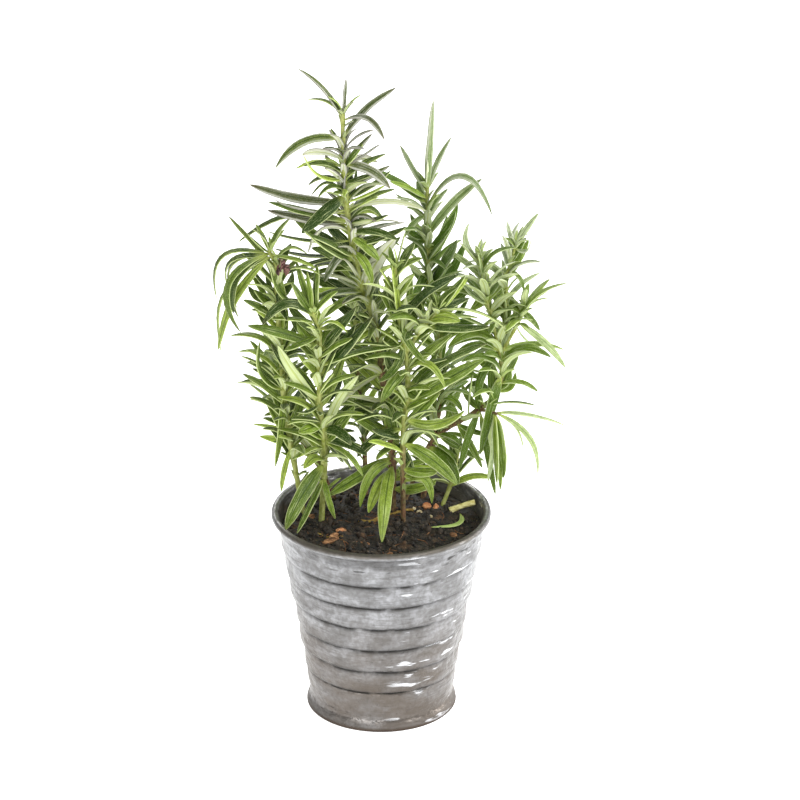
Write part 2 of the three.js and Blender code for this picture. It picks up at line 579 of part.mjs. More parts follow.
    leaves: [
      [254, 4, 4, 47, 0, 4.6, 80], [256, 13, 5, 25, 1, 3, 40], [254, -14, 4, 24, 0, 3.2, 30],
      [251, -18, -5, 12, 0, 3.8, 30], [247, 32, -6, -2, 18, 4, 30], [231, 27, 2, 31, 3, 4.8, 50],
      [243, -12, -6, -10, 2, 3.6, 20], [230, -8, 5, 12, -1, 3.2, 30], [207, 12, -8, 27, -1, 6.6, 60],
      [211, 15, -8, 6, 6, 3.6, 10], [219, 8, -6, 15, 0, 4.2, 40], [256, 0, -3, 17, 0, 3, 60],
      [182, 16, -6, 21, -1, 5.2, 40], [148, 11, -8, -3, 4, 4.2, 20], [199, -1, -6, 22, -1, 7.2, 60],
      [174, -15, 4, 22, -3, 5.6, 40], [179, 18, 6, -2, 5, 4.6, 30], [193, 16, 8, 14, -2, 5, 40],
      [155, 20, -6, 6, 6, 4.8, 40],
    ],
    rule: { from: 124, to: 244, spacing: 17, length: [32, 20], rise: [26, 52], width: [5.2, 3.8], first: 20 },
  },
  {
    node: 'stem_far_right', finish: FRESH_GREEN, rooted: true, radius: [1.1, 0.7],
    route: [[12, 28, 98], [25, 30, 129], [41, 32, 141], [55, 34, 150], [60, 35, 161], [60, 36, 171],
      [59, 36, 180], [62, 37, 190], [62, 38, 202], [63, 39, 217], [67, 41, 232]],
    leaves: [
      [218, -19, -5, -19, -1, 6, 50], [219, 8, -4, -9, 2, 3, 10], [220, -4, 4, 12, 0, 2.6, 40],
      [229, 12, 0, 20, 1, 3.6, 40], [230, 8, -4, 6, -4, 2.8, 20], [192, -1, -4, 20, 0, 3.8, 70],
      [201, 18, 5, -15, 1, 3, 20], [231, -4, 4, 12, -1, 2.6, 50], [176, 32, 2, 0, 4, 3.8, 30],
      [165, -10, -16, -38, 2, 6.2, 60], [146, 8, -16, -40, 1, 3.6, 20], [141, 5, -6, 17, 1, 3.8, 40],
      [143, 2, -6, 25, 1, 4.4, 70], [155, 9, 4, 9, -4, 3.4, 30], [139, 13, -8, -21, 1, 3.6, 30],
      [133, 13, -8, -3, 3, 3.2, 20], [159, 18, 8, -3, 3, 3.2, 20], [180, -18, 4, -13, 2, 3.6, 20],
      [208, -9, 6, 13, 2, 3.2, 20], [199, -15, 8, -15, -1, 3.6, 30], [127, 15, -12, -16, 3, 6.8, 45],
      [131, 20, -4, -3, 3, 3.4, 20], [129, 13, -10, -7, 2, 2.6, 10], [162, -14, 8, 11, -1, 4.4, 30],
      [185, 9, 10, 12, -2, 4, 30], [133, 21, -10, -15, 0, 4.4, 30], [139, 16, -6, -4, -1, 3.6, 20],
      [208, 1, -4, -18, 0, 3.6, 40], [176, -14, -6, -28, 6, 4.2, 45],
    ],
    rule: { from: 136, to: 226, spacing: 25, length: [28, 18], rise: [25, 42], width: [4.6, 3.4], first: 60 },
    branches: [
      {
        radius: [0.9, 0.6], route: [[59, 36, 176], [55, 34, 197], [53, 33, 204], [49, 31, 229]],
        leaves: [
          [225, 0, 3, 13, 0, 2.8, 40], [218, -2, -4, 17, 0, 4.2, 70], [227, -6, 4, 19, -6, 3.4, 30],
          [203, -13, -4, 13, -1, 3.8, 30], [207, 8, 4, 12, -1, 3, 30], [211, -4, 2, 21, 0, 4.2, 60],
        ],
        rule: {
          from: 192, to: 222, spacing: 15, length: [20, 15], rise: [30, 45], width: [3.6, 3.2], first: 70,
        },
      },
      {
        radius: [0.9, 0.6], route: [[60, 36, 175], [67, 38, 188], [72, 40, 198]],
        leaves: [
          [191, 25, -2, -22, 2, 4.2, 40], [198, 11, 3, 8, 2, 3, 30], [197, 8, -4, -9, 0, 3.2, 20],
          [189, 15, 5, -16, -2, 3.2, 20], [197, 0, 3, 12, 0, 2.8, 40],
        ],
        rule: {
          from: 186, to: 196, spacing: 8, length: [18, 15], rise: [15, 35], width: [3.4, 3.2], first: 110,
        },
      },
      {
        radius: [0.9, 0.6], route: [[49.5, 33, 146], [55, 28, 147], [58, 22, 148.5]],
        leaves: [
          [148, 35, 3, -9, 2, 3.4, 10], [148, 23, -3, -33, 6, 3.4, 40], [148, 2, -6, -39, 4, 3.4, 30],
          [148, -2, -9, -34, 1, 4.6, 60], [148, 1, -14, -33, 2, 4, 60], [148, 15, 4, -21, 3, 3, 10],
        ],
      },
    ],
  },
  {
    node: 'stem_back_left', finish: DEEP_GREEN, rooted: true, radius: [1.3, 0.7],
    route: [[-24, 30, 98], [-34, 36, 118], [-46, 41, 134], [-52, 44, 150], [-53, 45, 168]],
    leaves: [],
    rule: { from: 116, to: 166, spacing: 9, length: [30, 22], rise: [15, 50], width: [4.8, 4.2], first: 160 },
  },
  {
    node: 'stem_back_centre', finish: DEEP_GREEN, rooted: true, radius: [1.3, 0.8],
    route: [[-8, 36, 98], [-9, 40, 130], [-12, 42, 160], [-13, 42, 190], [-11, 40, 215]],
    leaves: [],
    rule: { from: 122, to: 212, spacing: 13, length: [32, 22], rise: [20, 52], width: [5.2, 4.4], first: 15 },
  },
  {
    node: 'shoot_right_low', finish: FRESH_GREEN, rooted: true, radius: [1.1, 0.6],
    route: [[31, 22, 98], [36, 24, 112], [39, 25, 126]],
    leaves: [],
    rule: { from: 107, to: 125, spacing: 6, length: [22, 16], rise: [25, 60], width: [4.6, 3.8], first: 150 },
  },
];

// Pairs of leaves up the stem, each pair turned a quarter against the last, with small differences.
// Where the rule says so, a shorter young leaf stands up beside each pair.
function ruleLeaves(rule, random) {
  const rows = [];
  let turn = rule.first;
  for (let z = rule.from; z <= rule.to + HEIGHT_SLACK; z += rule.spacing) {
    const share = (z - rule.from) / (rule.to - rule.from);
    for (let k = 0; k < (rule.young ? 3 : 2); k += 1) {
      const young = k === 2;
      const side = young ? YOUNG_TURN : 2 * QUARTER_TURN * k;
      const steeper = young ? YOUNG_RISE : 0;
      const heading = (turn + side + jitter(HEADING_JITTER, random)) * DEGREE;
      const rise = (mix(...rule.rise, share) + steeper + jitter(RISE_JITTER, random)) * DEGREE;
      const fullLength = mix(...rule.length, share) * mix(...LENGTH_SHARES, random());
      const fullWidth = mix(...rule.width, share) * mix(...WIDTH_SHARES, random());
      const length = fullLength * (young ? YOUNG_SIZE : 1);
      const width = fullWidth * (young ? YOUNG_WIDTH : 1);
      const bow = length * mix(...BOW_SHARES, random());
      const roll = jitter(ROLL_RANGE, random);
      const flat = length * Math.cos(rise);
      rows.push([z + FOOT_JITTER * random(), flat * Math.cos(heading), flat * Math.sin(heading),
        length * Math.sin(rise), bow, width, roll]);
    }
    turn += QUARTER_TURN + jitter(TURN_JITTER, random);
  }
  return rows;
}

// Every stem and branch as one list, each with the fine polyline of its route.
const shoots = [];
for (const stem of STEMS) {
  for (const shoot of [stem, ...(stem.branches ?? [])]) {
    shoots.push({ ...shoot, node: stem.node, line: routePoints(shoot.route, FINE_STEPS) });
  }
}

function leafFromRow(shoot, [z, right, back, up, bow, width, roll]) {
  const facing = (right < 0 ? -roll : roll) * DEGREE;
  const along = new THREE.Vector3(right, back, up);
  return { foot: pointAtHeight(shoot.line, z), along, bow, width, roll: facing };
}

// The leaves that make the outline are placed first, on all stems, and then the pairs of the rules.
const placed = [];
for (const shoot of shoots) {
  for (const row of shoot.leaves) placeLeaf(leafFromRow(shoot, row), shoot.node, placed, shoots);
}
shoots.forEach((shoot, index) => {
  if (!shoot.rule) return;
  const random = seededRandom(FIRST_SEED + SEED_STEP * index);
  for (const row of ruleLeaves(shoot.rule, random)) {
    placeLeaf(leafFromRow(shoot, row), shoot.node, placed, shoots);
  }
});

for (const stem of STEMS) {
  const own = shoots.filter((shoot) => shoot.node === stem.node);
  const leaves = placed.filter((leaf) => leaf.node === stem.node);
  const solids = [...own.map((shoot) => toSolid(stemGeometry(shoot))),
    ...leaves.map(({ leaf }) => toSolid(leafGeometry(leaf)))];
  addPiece(stem.node, toGeometry(fuse(solids)), stem.finish);
}

// What lies on the soil

// Flat chip with an uneven outline, laid on the soil at a place, turned and leaning.
function chipGeometry({ place: [x, y], size, thickness, turn, lean, seed }) {
  const random = seededRandom(seed);
  const outline = Array.from({ length: CHIP_CORNERS }, (_, k) => {
    const angle = (2 * Math.PI * k) / CHIP_CORNERS;
    const reach = 0.5 * mix(...CHIP_REACH, random());
    return new THREE.Vector2(size[0] * reach * Math.cos(angle), size[1] * reach * Math.sin(angle));
  });
  const options = { depth: thickness, bevelEnabled: false };
  const geometry = new THREE.ExtrudeGeometry(new THREE.Shape(outline), options);
  geometry.rotateX(lean * DEGREE).rotateZ(turn * DEGREE);
  return geometry.translate(x, y, soilHeight(x, y) - CHIP_SUNK * thickness);
}

const CHIPS = [
  { place: [-19, -10], size: [8, 4], thickness: 2.2, turn: 62, lean: 12, seed: 5 },
  { place: [-25, -21], size: [12, 5], thickness: 2, turn: 48, lean: -10, seed: 9 },
  { place: [23, 20], size: [5, 4.5], thickness: 2.6, turn: 15, lean: 10, seed: 14 },
  { place: [4, -36], size: [6, 3.5], thickness: 1.5, turn: 60, lean: -8, seed: 21 },
  { place: [36, -14], size: [7, 4], thickness: 1.6, turn: -60, lean: 8, seed: 33 },
];
const FALLEN_LEAF = {
  foot: new THREE.Vector3(39.4, 9.6, 98.3), along: new THREE.Vector3(-14.5, -17.8, 0.6),
  bow: 0.45, sway: -5.6, width: 3, roll: 0, stations: [0.12, 0.32, 0.5, 0.68, 0.88],
};
const TWIG_SIDES = 6;
const TWIG_STEPS = 3;
const TWIG = { start: [34.5, 13.5, 98.6], end: [47.2, 15, 102.8], radius: 1.5 };

const soil = toSolid(soilGeometry(0));
const seat = toSolid(soilGeometry(GAP));
const rooted = shoots.filter((shoot) => shoot.rooted);
const soilWithHoles = rooted.reduce((left, stem) => left.subtract(toSolid(stemGeometry(stem, GAP))), soil);

addPiece('pot_wall', closed(wallGeometry()), GALVANISED);
addPiece('pot_base', closed(baseGeometry()), GALVANISED);
addPiece('soil', toGeometry(fuse([soilWithHoles])), PEAT);
CHIPS.forEach((chip, index) => {
  const solid = toSolid(chipGeometry(chip)).subtract(seat);
  addPiece(`bark_chip_${index + 1}`, toGeometry(fuse([solid])), BARK);
});
addPiece('fallen_leaf', toGeometry(fuse([toSolid(leafGeometry(FALLEN_LEAF)).subtract(seat)])), PALE_GREEN);

function twigGeometry() {
  const line = new THREE.LineCurve3(new THREE.Vector3(...TWIG.start), new THREE.Vector3(...TWIG.end));
  const corners = Array.from({ length: TWIG_SIDES }, (_, k) => {
    const angle = (2 * Math.PI * k) / TWIG_SIDES;
    return new THREE.Vector2(TWIG.radius * Math.cos(angle), TWIG.radius * Math.sin(angle));
  });
  const options = { steps: TWIG_STEPS, extrudePath: line, bevelEnabled: false };
  return new THREE.ExtrudeGeometry(new THREE.Shape(corners), options);
}
addPiece('twig', toGeometry(fuse([toSolid(twigGeometry()).subtract(seat)])), BARK);

export default part;
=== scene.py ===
"""A rosemary plant in a ribbed metal pot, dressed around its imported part.

Sizes are in millimetres and become metres where a mesh is made. +Z is up, the front of the plant
looks along -Y and the origin is the centre of the pot's flat underside. The stems and the rule that
places their leaves are those of the part, so each leaf here stands where its solid does.
"""

from __future__ import annotations

import logging
import math
from dataclasses import dataclass
from enum import Enum

import bpy
import numpy as np
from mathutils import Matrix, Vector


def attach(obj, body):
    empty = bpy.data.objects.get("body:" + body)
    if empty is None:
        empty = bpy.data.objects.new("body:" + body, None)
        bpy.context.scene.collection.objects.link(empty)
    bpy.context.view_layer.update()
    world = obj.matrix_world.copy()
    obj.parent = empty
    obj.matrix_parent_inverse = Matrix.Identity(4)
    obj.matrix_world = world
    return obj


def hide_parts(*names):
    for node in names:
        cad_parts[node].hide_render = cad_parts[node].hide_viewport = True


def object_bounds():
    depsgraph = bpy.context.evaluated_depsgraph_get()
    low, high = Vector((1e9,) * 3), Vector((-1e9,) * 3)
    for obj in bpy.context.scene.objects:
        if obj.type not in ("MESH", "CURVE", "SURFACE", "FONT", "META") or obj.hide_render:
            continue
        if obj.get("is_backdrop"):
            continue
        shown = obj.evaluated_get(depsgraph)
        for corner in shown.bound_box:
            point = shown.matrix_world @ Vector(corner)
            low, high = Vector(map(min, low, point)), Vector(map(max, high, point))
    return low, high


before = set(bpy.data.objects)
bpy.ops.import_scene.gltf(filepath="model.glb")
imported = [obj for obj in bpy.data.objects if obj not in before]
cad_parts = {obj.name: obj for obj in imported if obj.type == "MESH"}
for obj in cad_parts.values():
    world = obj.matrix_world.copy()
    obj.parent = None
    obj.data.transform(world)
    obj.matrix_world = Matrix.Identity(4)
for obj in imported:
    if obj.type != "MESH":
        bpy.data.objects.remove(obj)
CAD_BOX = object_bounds()

log = logging.getLogger("rosemary")
MM = 0.001
Array = np.ndarray
Piece = bpy.types.Object
Material = bpy.types.Material
Socket = bpy.types.NodeSocket
Colour = tuple[int, int, int]
Pair = tuple[float, float]
Place = tuple[float, float, float]
Row = tuple[float, ...]

# Pot, as in the part
RIM_RADIUS = 53.2
RIM_HEIGHT = 104.6
RIM_BEAD_RADIUS = 1.8
WALL_FOOT_RADIUS = 35.0
WALL_TAPER = 0.135
WALL_FLARE = 0.00032
WALL_THICKNESS = 1.2
WALL_TOP = 101.8
WALL_BOTTOM = 6.5
LOWEST_GROOVE = 21.6
GROOVE_SPACING = 12.75
GROOVE_COUNT = 6
GROOVE_DEPTH = 0.45
BAND_BULGE = 0.5
HEM_RADIUS = 38.0
LIP_THICKNESS = 1.0
BASE_RADIUS = 32.2
BASE_FLANGE_RADIUS = 34.3
BASE_THICKNESS = 0.9
GAP = 0.3

# Soil, as in the part
SOIL_BOTTOM = LIP_THICKNESS + GAP + BASE_THICKNESS + GAP
SOIL_EDGE_HEIGHT = 97.4
SOIL_CROWN = 1.6
BROAD_LUMP = (0.6, 0.31, 1.1, 0.27, 0.4)
SMALL_LUMP = (0.4, 0.63, 2.0, 0.55, 2.6)
LUMP_FADE = 6

# Height, size and seed of the soil's three noises, and how late they fade out at the wall
SOIL_NOISE = ((0.55, 6.0, 3), (0.45, 2.4, 5), (0.28, 1.1, 7))
SOIL_FADE = 10

# Leaves and stems, as in the part
FINE_STEPS = 16
FOOT_DEPTH = 27
FOOT_TAPER = 0.55
BUD_LENGTH = 1.5
LEAF_RIDGE = 1.3
LEAF_ROOT_SHARE = 0.3
SWELL_END = 0.36
NARROW_START = 0.5
NARROW_POWER = 2.2
TIP_POWER = 0.7
SAMPLE_COUNT = 12
SAMPLE_START = 0.14
SAMPLE_LIFT = 0.4
SEARCH_MARGIN = 2
CLEAR_OF_OTHERS = 2.3
CLEAR_OF_OWN = 1.5
CLEAR_OF_STEM = 1.7
CLEAR_OF_RIM = 3.3
CLEAR_OF_SOIL = 1.4
OWN_ROOT_FREE = 0.34
TURNS = (0, 9, -9, 18, -18, 28, -28, 40, -40)
TILTS = (0, 9, -9, 18, -18)
TURN_COST = 10
TILT_COST = 13

# Pairs of leaves set by rule, as in the part
FIRST_SEED = 4100
TINT_SEED = 77
SEED_STEP = 17
QUARTER_TURN = 90
TURN_JITTER = 16
HEADING_JITTER = 30
RISE_JITTER = 34
ROLL_RANGE = 70
FOOT_JITTER = 2
HEIGHT_SLACK = 0.001
LENGTH_SHARES = (0.72, 1.25)
WIDTH_SHARES = (0.8, 1.15)
BOW_SHARES = (0.02, 0.2)
YOUNG_TURN = 52
YOUNG_RISE = 18
YOUNG_SIZE = 0.62
YOUNG_WIDTH = 0.8


# Numbers of the noise, which turn a cell of the lattice into a value
CELL_FACTORS = (73856093, 19349663, 83492791)
SEED_FACTOR = 9176
BLEND_FACTOR = 1274126177
POSITIVE = 0x7FFFFFFF
LOW_BITS = 0xFFFF

# Radius on which the noise of the pot's dents is read
NOISE_RADIUS = 40


# Helpers for numbers


def mix(a: float, b: float, share: float) -> float:
    """Value that lies at a share of the way from a to b."""
    return a + (b - a) * share


def smooth(x: Array, low: float, high: float) -> Array:
    """Soft step from 0 at low to 1 at high: 3u^2 - 2u^3 of the share u between them."""
    share = np.clip((x - low) / (high - low), 0, 1)
    return share * share * (3 - 2 * share)


def bell(x: Array, width: float, middle: float = 0.0) -> Array:
    """Bell of height 1: e to the power -((x - middle) / width)^2."""
    return np.exp(-(((x - middle) / width) ** 2))


def unit(vectors: Array) -> Array:
    """Vectors brought to length 1 along their last axis."""
    return vectors / np.linalg.norm(vectors, axis=-1, keepdims=True)


def lattice_noise(points: Array, size: float, seed: int) -> Array:
    """Smooth noise from -1 to 1, as hashed values on a cubic lattice blended by 3u^2 - 2u^3.

    Args:
        points: Places, with x, y and z along the last axis.
        size: Distance between lattice points, in the unit of the places.
        seed: Whole number that picks the noise.

    Returns:
        One value for each place.
    """
    scaled = points / size
    base = np.floor(scaled).astype(np.int64)
    local = smooth(scaled - base, 0, 1)
    total = np.zeros(points.shape[:-1])
    for corner in np.ndindex(2, 2, 2):
        cell = base + np.array(corner)
        code = np.bitwise_xor.reduce(cell * np.array(CELL_FACTORS), axis=-1) ^ seed * SEED_FACTOR
        code = ((code ^ code >> 13) & POSITIVE) * BLEND_FACTOR
        value = ((code ^ code >> 16) & LOW_BITS) / (0.5 * LOW_BITS) - 1
        total += value * np.prod(np.where(corner, local, 1 - local), axis=-1)
    return total


def full_turn(count: int) -> Array:
    """Angles that divide a full turn evenly, from 0."""
    return 2 * np.pi * np.arange(count) / count


def turned(radius: Array, height: Array, turn: Array) -> Array:
    """Places about the upright axis, at radius cos v, radius sin v and the height for each angle v."""
    x, y = radius * np.cos(turn), radius * np.sin(turn)
    return np.stack([x, y, height * np.ones_like(x)], axis=-1)


class PartRandom:
    """Numbers between 0 and 1 in the order in which the part draws them."""

    LIMIT = 0xFFFFFFFF
    STEP = 0x6D2B79F5

    def __init__(self, seed: int) -> None:
        """Starts the numbers at a seed."""
        self.state = seed & self.LIMIT

    def draw(self) -> float:
        """Next number, from products and shifts of a 32-bit count."""
        self.state = (self.state + self.STEP) & self.LIMIT
        t = ((self.state ^ self.state >> 15) * (self.state | 1)) & self.LIMIT
        t = (t + ((t ^ t >> 7) * (t | 61) & self.LIMIT) & self.LIMIT) ^ t
        return (t ^ t >> 14) / (self.LIMIT + 1)

    def jitter(self, reach: float) -> float:
        """Number from -half the reach to +half the reach."""
        return reach * (self.draw() - 0.5)

    def between(self, ends: Pair) -> float:
        """Number between two ends."""
        return mix(*ends, self.draw())


# Meshes


def grid_quads(rows: int, cols: int, closed: bool) -> Array:
    """Quads of a grid of points that wraps round along its rows.

    Args:
        rows: Rows of points.
        cols: Points in each row.
        closed: Whether the last row joins the first one.

    Returns:
        Four point numbers for each quad.
    """
    row, col = np.meshgrid(np.arange(rows if closed else rows - 1), np.arange(cols), indexing="ij")
    below, after = (row + 1) % rows, (col + 1) % cols
    corners = ((row, col), (row, after), (below, after), (below, col))
    return np.stack([r * cols + c for r, c in corners], axis=-1).reshape(-1, 4)


class Shell:
    """Gathers grids of points, with values on their vertices, and makes one mesh of them."""

    def __init__(self, *values: str) -> None:
        """Starts an empty shell.

        Args:
            *values: Names of the values that each vertex carries for the material.
        """
        self.points: list[Array] = []
        self.faces: dict[int, list[Array]] = {3: [], 4: []}
        self.values: dict[str, list[Array]] = {name: [] for name in values}
        self.count = 0

    def add_tubes(self, rings: Array, starts: Array, ends: Array, **values: Array) -> None:
        """Adds tubes, each a row of rings that closes in a point at both ends.

        Args:
            rings: Places, indexed by tube, ring, corner and axis. The corners run anticlockwise
                as seen from the tube's end.
            starts: Point where each tube begins.
            ends: Point where each tube ends.
            **values: One number for each corner, or one for all. Both end points take the mean of
                the ring beside them.
        """
        tubes, rows, cols = rings.shape[:3]
        body = rings.reshape(tubes, -1, 3)
        points = np.concatenate([body, starts[:, None], ends[:, None]], axis=1)
        size = points.shape[1]
        side, beyond = np.arange(cols), (np.arange(cols) + 1) % cols
        last = (rows - 1) * cols
        first_cap = np.stack([beyond, side, np.full(cols, size - 2)], axis=-1)
        last_cap = np.stack([last + side, last + beyond, np.full(cols, size - 1)], axis=-1)
        shift = self.count + size * np.arange(tubes)[:, None, None]
        self.faces[4].append((grid_quads(rows, cols, closed=False) + shift).reshape(-1, 4))
        self.faces[3].append((np.concatenate([first_cap, last_cap]) + shift).reshape(-1, 3))
        self.points.append(points.reshape(-1, 3))
        self.count += tubes * size
        for name, gathered in self.values.items():
            spread = np.broadcast_to(values.get(name, 0.0), (tubes, rows, cols))
            ends_of = [spread[:, 0].mean(axis=1, keepdims=True), spread[:, -1].mean(axis=1, keepdims=True)]
            gathered.append(np.concatenate([spread.reshape(tubes, -1), *ends_of], axis=1).ravel())

    def add_ring(self, sheet: Array, **values: Array) -> None:
        """Adds a closed ring whose points wrap round both ways.

        Args:
            sheet: Places, indexed by row, column and axis. Rows run so that the column direction
                crossed with the row direction points outwards.
            **values: One number for each place.
        """
        rows, cols = sheet.shape[:2]
        self.faces[4].append(grid_quads(rows, cols, closed=True) + self.count)
        self.points.append(sheet.reshape(-1, 3))
        self.count += rows * cols
        for name, gathered in self.values.items():
            gathered.append(np.broadcast_to(values.get(name, 0.0), (rows, cols)).ravel())

    def make(self, name: str, material: Material) -> Piece:
        """Makes the mesh object, in metres and with smooth faces.

        Args:
            name: Name of the piece.
            material: Its finish.

        Returns:
            The new object, linked to the scene.
        """
        points = np.concatenate(self.points) * MM
        loops = np.concatenate([np.concatenate(group).ravel() for group in self.faces.values() if group])
        sizes = np.concatenate([np.full(sum(map(len, group)), corners)
                                for corners, group in self.faces.items() if group])
        mesh = bpy.data.meshes.new(name)
        mesh.vertices.add(len(points))
        mesh.vertices.foreach_set("co", points.ravel())
        mesh.loops.add(len(loops))
        mesh.loops.foreach_set("vertex_index", loops.astype(np.int32))
        mesh.polygons.add(len(sizes))
        mesh.polygons.foreach_set("loop_start", (np.cumsum(sizes) - sizes).astype(np.int32))
        mesh.polygons.foreach_set("use_smooth", np.ones(len(sizes), dtype=bool))
        mesh.update(calc_edges=True)
        mesh.validate()
        for value, gathered in self.values.items():
            layer = mesh.attributes.new(value, "FLOAT", "POINT")
            layer.data.foreach_set("value", np.concatenate(gathered).astype(np.float32))
        mesh.materials.append(material)
        piece = bpy.data.objects.new(name, mesh)
        bpy.context.scene.collection.objects.link(piece)
        return piece


def place_on_part(piece: Piece, slot: str, *nodes: str) -> None:
    """Lets a piece ride on the part and hides the nodes that it stands for.

    Args:
        piece: The finished piece.
        slot: Name of a material slot; not used.
        *nodes: Nodes of the part that it replaces.
    """
    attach(piece, "root")
    if nodes:
        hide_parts(*nodes)
    log.info("%s: %d faces", piece.name, len(piece.data.polygons))


def along_path(spine: Array, radii: Array, shape: Array) -> Array:
    """Rings of a tube that follows a path, side turned to +X as far as the path allows.

    Each ring point is spine + radius * shape * (side cos v + other sin v), where side is the part of
    +X square to the path and other is the path's direction crossed with side.

    Args:
        spine: Points of the path, indexed by point and axis.
        radii: Radius at each point.
        shape: Factor on the radius for each corner round the tube.

    Returns:
        Places indexed by point, corner and axis.
    """
    along = unit(np.gradient(spine, axis=0))
    side = unit(np.array([1.0, 0, 0]) - along * along[:, :1])
    other = np.cross(along, side)
    turn = full_turn(len(shape))
    spoke = side[:, None] * np.cos(turn)[None, :, None] + other[:, None] * np.sin(turn)[None, :, None]
    return spine[:, None] + radii[:, None, None] * shape[None, :, None] * spoke


# Materials


def linear(colour: Colour) -> tuple[float, float, float, float]:
    """Shader value of a colour that is given in 8-bit screen values."""
    shares = [channel / 255 for channel in colour]
    return (*(s / 12.92 if s <= 0.04045 else ((s + 0.055) / 1.055) ** 2.4 for s in shares), 1.0)


class Recipe:
    """A material's nodes, built up by plain calls. Lengths are in millimetres."""

    def __init__(self, name: str) -> None:
        """Starts a material with one shader. Its patterns are laid out in object coordinates."""
        self.material = bpy.data.materials.new(name)
        self.material.use_nodes = True
        self.tree = self.material.node_tree
        self.shader = self.tree.nodes["Principled BSDF"]
        self.place = self.tree.nodes.new("ShaderNodeTexCoord").outputs["Object"]

    def node(self, kind: str, *inputs: object, **settings: object) -> bpy.types.Node:
        """Adds a node with settings, and fills its first sockets with numbers, colours or links."""
        node = self.tree.nodes.new(kind)
        for name, value in settings.items():
            setattr(node, name, value)
        for socket, value in zip(node.inputs, inputs):
            self.feed(socket, value)
        return node

    def feed(self, socket: Socket, value: object) -> None:
        """Links a socket to another one, or sets it to a number or colour. None leaves it."""
        if isinstance(value, Socket):
            self.tree.links.new(value, socket)
        elif value is not None:
            socket.default_value = value

    def value(self, name: str) -> Socket:
        """Value that each vertex carries under a name."""
        return self.node("ShaderNodeAttribute", attribute_name=name).outputs["Fac"]

    def math(self, operation: str, a: object, b: object = None) -> Socket:
        """Result of one operation on numbers."""
        return self.node("ShaderNodeMath", a, b, operation=operation).outputs[0]

    def times(self, a: object, b: object) -> Socket:
        """Product of two numbers."""
        return self.math("MULTIPLY", a, b)

    def between(self, share: object, low: float, high: float) -> Socket:
        """Number at a share of the way from low to high."""
        return self.node("ShaderNodeMapRange", share, 0.0, 1.0, low, high).outputs[0]

    def step(self, value: object, low: float, high: float, amount: float = 1.0) -> Socket:
        """Soft step from 0 at low to the amount at high. Low may be above high."""
        flip = low > high
        ends = (high, low, amount, 0.0) if flip else (low, high, 0.0, amount)
        return self.node("ShaderNodeMapRange", value, *ends, interpolation_type="SMOOTHSTEP").outputs[0]

    def height(self) -> Socket:
        """Height above the pot's underside, in millimetres."""
        split = self.node("ShaderNodeSeparateXYZ", self.place)
        return self.times(split.outputs["Z"], 1 / MM)

    def noise(self, size: float, detail: float, stretch: Place = (1, 1, 1)) -> Socket:
        """Noise about 0.5 with spots of about a size, drawn out by the stretch along each axis."""
        mapping = self.node("ShaderNodeMapping", self.place)
        mapping.inputs["Scale"].default_value = [1 / factor for factor in stretch]
        texture = self.node("ShaderNodeTexNoise")
        self.feed(texture.inputs["Vector"], mapping.outputs[0])
        texture.inputs["Scale"].default_value = 1 / (size * MM)
        texture.inputs["Detail"].default_value = detail
        return texture.outputs["Fac"]

    def spots(self, size: float, detail: float, low: float, high: float, amount: float = 1.0,
              stretch: Place = (1, 1, 1)) -> Socket:
        """Noise drawn apart by a soft step, from 0 at low to the amount at high."""
        return self.step(self.noise(size, detail, stretch), low, high, amount)

    def grain(self, across: float, along: float, apart: float) -> Socket:
        """Noise about 0.5 drawn out along each leaf, and another one on every leaf.

        Args:
            across: Streaks over half the leaf's width.
            along: Spots over the leaf's length.
            apart: How far the leaves' noises stand from each other.

        Returns:
            The noise.
        """
        ends = (("across", across), ("along", along), ("tone", apart))
        shares = [self.times(self.value(name), factor) for name, factor in ends]
        texture = self.node("ShaderNodeTexNoise")
        self.feed(texture.inputs["Vector"], self.node("ShaderNodeCombineXYZ", *shares).outputs[0])
        texture.inputs["Scale"].default_value = 1.0
        texture.inputs["Detail"].default_value = 3.0
        return texture.outputs["Fac"]

    def cells(self, size: float) -> Socket:
        """Distance from the nearest of scattered points that stand about a size apart."""
        texture = self.node("ShaderNodeTexVoronoi")
        self.feed(texture.inputs["Vector"], self.place)
        texture.inputs["Scale"].default_value = 1 / (size * MM)
        return texture.outputs["Distance"]

    def blend(self, share: object, below: object, above: object) -> Socket:
        """Colour between two colours by a share. A plain colour is given in screen values."""
        node = self.node("ShaderNodeMix", data_type="RGBA")
        self.feed(node.inputs[0], share)
        for socket, colour in ((node.inputs[6], below), (node.inputs[7], above)):
            self.feed(socket, linear(colour) if isinstance(colour, tuple) else colour)
        return node.outputs[2]

    def layers(self, base: object, *layers: tuple[object, object]) -> Socket:
        """Colour under others that are laid on in turn, each given by its share and its colour."""
        for share, colour in layers:
            base = self.blend(share, base, colour)
        return base

    def bump(self, height: object, depth: float, strength: float) -> None:
        """Adds relief of a depth to the shader, over any that it has already."""
        normal = self.shader.inputs["Normal"]
        before = normal.links[0].from_socket if normal.links else None
        node = self.node("ShaderNodeBump")
        node.inputs["Distance"].default_value = depth * MM
        node.inputs["Strength"].default_value = strength
        self.feed(node.inputs["Height"], height)
        self.feed(node.inputs["Normal"], before)
        self.feed(normal, node.outputs[0])

    def give(self, name: str, value: Socket) -> None:
        """Gives the shader a colour or a roughness that differs from place to place."""
        self.feed(self.shader.inputs[name], value)

    def set(self, **values: float) -> None:
        """Sets shader sockets that are the same all over. Names use _ for a space."""
        for name, value in values.items():
            self.shader.inputs[name.replace("_", " ")].default_value = value


